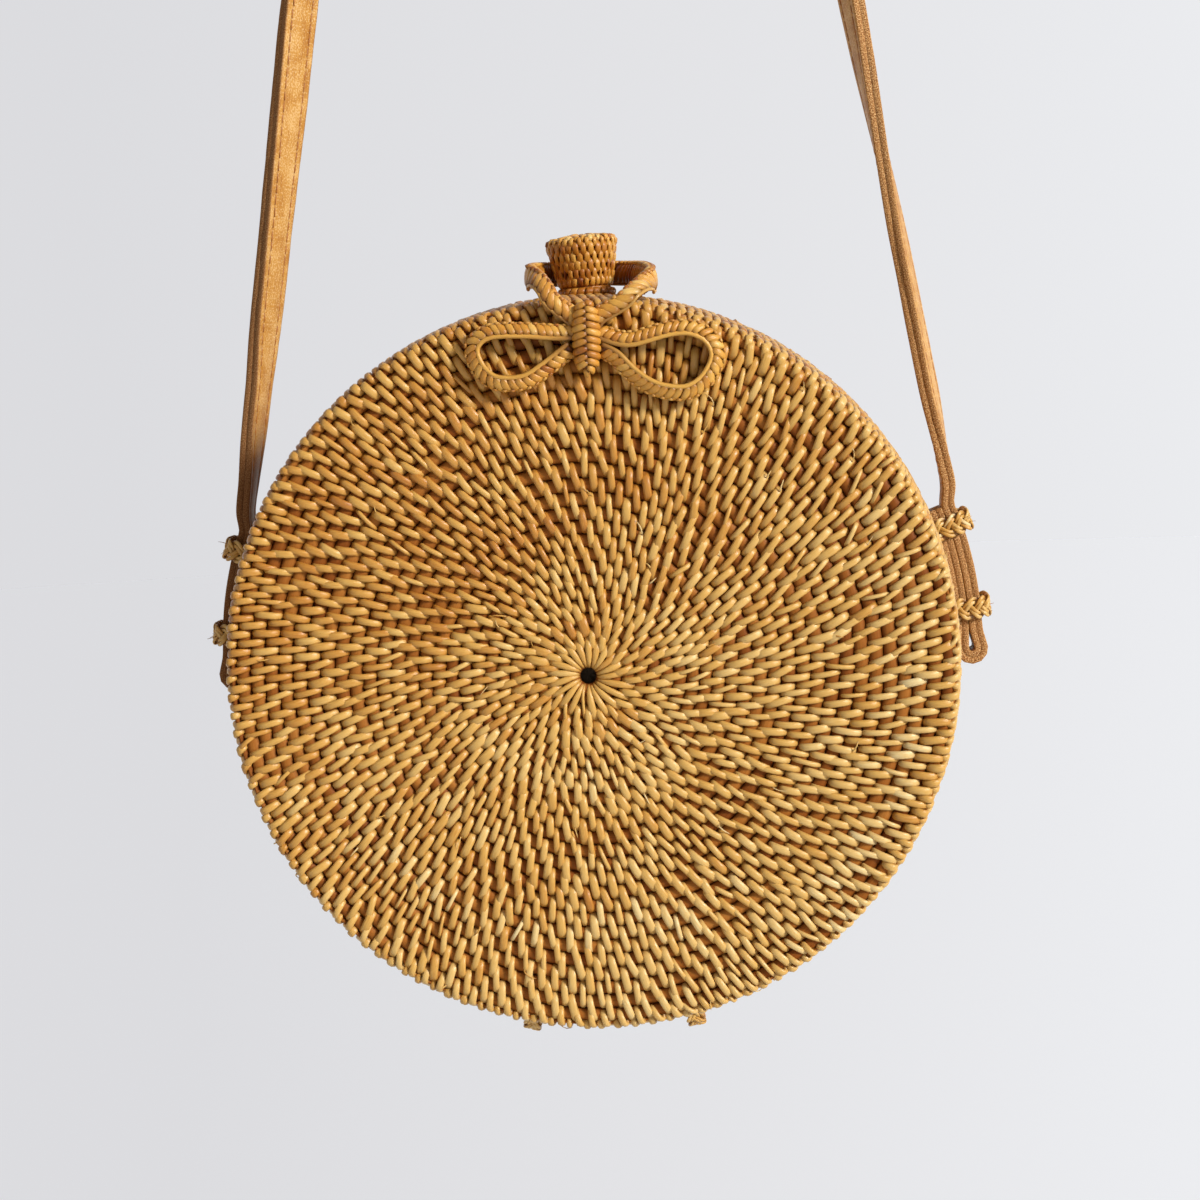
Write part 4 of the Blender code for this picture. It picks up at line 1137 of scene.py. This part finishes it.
# %% Thread
THREAD_PITCH, THREAD_END_GAP = 3.3, 2.4
THREAD_RUN = np.array([-1.32, -1.0, 0.0, 1.0, 1.32])
THREAD_SLANT = np.array([-0.12, -0.06, 0, 0.06, 0.12])
THREAD_HEIGHT = np.array([1.45, 1.74, 1.82, 1.74, 1.45])[:, None]
thread, nodes, shader = new_finish("waxed_thread")
fibre_marks = nodes.noise(nodes.mark("grain", "Vector"), 1.0, 2.0, (4.0, 6.0, 1.0))
colour = nodes.ramp(fibre_marks, (0.35, (0.27, 0.085, 0.012)), (0.65, (0.46, 0.175, 0.030)))
# painted shade at both ends of each stitch, where it sinks into its hole
colour = nodes.mix(nodes.maths("POWER", nodes.mark("end"), 4.0), colour, (0.035, 0.010, 0.003))
nodes.fill(shader, Base_Color=colour, Roughness=0.5)


def strap_thread(sign, seed):
    rng = np.random.default_rng(seed)
    parts = []
    for edge in (-1, 1):
        at = np.arange(THREAD_END_GAP, strap_run[-1] - THREAD_END_GAP, THREAD_PITCH)
        at = at + rng.normal(0, 0.12, len(at))
        spots = at[:, None] + THREAD_RUN * (1 + rng.normal(0, 0.05, (len(at), 1)))
        middle, across, normal = np.split(look_up(strap_run, strap_line, spots), 3, -1)
        aside = edge * SEWN_AT + rng.normal(0, 0.07, (len(at), 1)) + THREAD_SLANT * edge
        points = middle + unit(across) * aside[..., None] + unit(normal) * (sign * THREAD_HEIGHT)
        parts.append(rods(points, unit(normal) * sign, 0.22, 0.2, rng.uniform(0.3, 0.7, len(at)), 1.0))
    return parts


blended_strap_piece("strap_outer_thread", strap_thread(1, 73), thread, ())
blended_strap_piece("strap_inner_thread", strap_thread(-1, 74), thread, ())

# %% [markdown]
# ## Ties
# Four short plaits hold the folded strap against the back half, and two more hinge the halves at the bottom. Each
# is three strands of straw, crossed from edge to edge, with both its ends sewn through the weave. A twisted cord
# would be simpler, but the plait shows. Each strand swings from edge to edge and passes over one neighbour and
# under the other.


# %% A plait of three strands
def three_strand_plait(route, run, side, face, width, wave, strand, seed, tone=0.55):
    rng = np.random.default_rng(seed)
    step = np.linspace(0, run[-1], int(run[-1] / 0.42))
    place, across, out = np.split(look_up(run, np.concatenate([route, unit(side), face], 1), step), 3, -1)
    parts = []
    for number in range(3):
        turns = TURN * (step / wave + number / 3) + 0.15 * np.sin(step * 0.9 + rng.uniform(0, 6))
        lift = 0.5 * np.sin(2 * turns)
        line = place + across * ((width - strand) / 2 * np.sin(turns))[:, None] + out * lift[:, None]
        # end paints shade on each strand where it dips under its neighbours
        end = 0.55 + 0.45 * np.clip(0.5 - lift, 0, 1) ** 1.3
        for straw_side in (-1, 1):
            apart = straw_side * strand * 0.25 * (1 + 0.1 * np.sin(step * 1.3 + number))
            wide = strand / 4 * (0.96 + 0.08 * np.sin(step * 1.7 + 3 * number + straw_side))
            part = one_rod(line + across * apart[:, None], out, wide, 0.34, tone + rng.normal(0, 0.13), 0.8)
            part[2]["end"] = np.repeat(end, SIDES)
            parts.append(part)
    return parts


def tie_route(angle, middle_back, corners):
    """A route out of the wall and back in, from (distance from the middle, distance along the bag's depth)."""
    out, along = np.array([math.cos(angle), 0, math.sin(angle)]), np.array([-math.sin(angle), 0, math.cos(angle)])
    route, run = smooth_route([out * r + np.array([0, middle_back + y, 0]) for r, y in corners], 0.4)
    side = np.broadcast_to(along, route.shape)
    face = np.cross(unit(np.gradient(route, axis=0)), side)
    return route, run, side, face * np.sign((face * out).sum(-1).mean())


def out_and_back(*corners):
    """The corners up to the middle one, and then their mirror images."""
    return [*corners, *((r, -y) for r, y in reversed(corners[:-1]))]


def whiskers(root, out, seed, count):
    """Cut ends of grass that stick out of a tie."""
    rng = np.random.default_rng(seed)
    t, thin = np.linspace(0, 1, 6)[:, None], np.linspace(1, 0.4, 6)
    heading = unit(out + rng.normal(0, 0.45, (count, 3)))[:, None]
    bend = rng.normal(0, 0.5, (count, 1, 3))
    length = rng.uniform(1.2, 2.8, (count, 1, 1))
    points = root + rng.normal(0, 0.9, (count, 1, 3)) + heading * t * length + bend * t**2
    outward = np.cross(heading, np.array([0.3, 0.5, 0.8])) + 0 * points
    return rods(points, outward, 0.13 * thin, 0.1 * thin, rng.uniform(0.2, 0.7, count))


# %% The four strap ties
TIE_RISE = {"upper": 17.46, "lower": 4.45}
STRAP_TIE = out_and_back(
    (99.2, -6.9), (103, -6.95), (107, -6.95), (110.3, -6.6), (111.9, -5.2), (112.2, -2.6), (112.25, 0)
)  # fmt: skip
for name, start, sign, first_seed in (("left", 180, -1, 85), ("right", 0, 1, 80)):
    for seed, (level, rise) in enumerate(TIE_RISE.items(), first_seed):
        angle = math.radians(start + sign * rise)
        route, *frame_of_tie = tie_route(angle, STRAP_BACK, STRAP_TIE)
        parts = three_strand_plait(route, *frame_of_tie, width=6.6, wave=9.2, strand=2.3, seed=seed)
        parts.append(whiskers(route[len(route) // 3], np.array([math.cos(angle), -0.5, math.sin(angle)]), seed + 20, 4))
        add_piece(f"{level}_plaited_tie_{name}", parts, straw, "bag", (f"{level}_strap_tie_{name}",))

# %% The two hinge ties
HINGE_ASIDE, HINGE_RADIUS = 21.9, 102
HINGE_TIE = out_and_back((99.2, -4.15), (103, -4.2), (107.0, -4.1), (110.4, -3.4), (111.9, -1.7), (112.2, 0))
for side_name, sign in (("left", -1), ("right", 1)):
    angle = -math.pi / 2 + sign * math.asin(HINGE_ASIDE / HINGE_RADIUS)
    route, *frame_of_tie = tie_route(angle, 0, HINGE_TIE)
    parts = three_strand_plait(route, *frame_of_tie, width=5.5, wave=8.0, strand=2.0, seed=90 + sign)
    parts.append(whiskers(route[len(route) // 4], np.array([0, -0.6, -1.0]), 94 + sign, 2))
    tie = add_piece("plaited_hinge_tie_" + side_name, parts, straw, None, ("hinge_tie_" + side_name,))
    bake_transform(tie)

# %% [markdown]
# ## Finish

# %% The end
bpy.context.scene.view_settings.view_transform = "Standard"
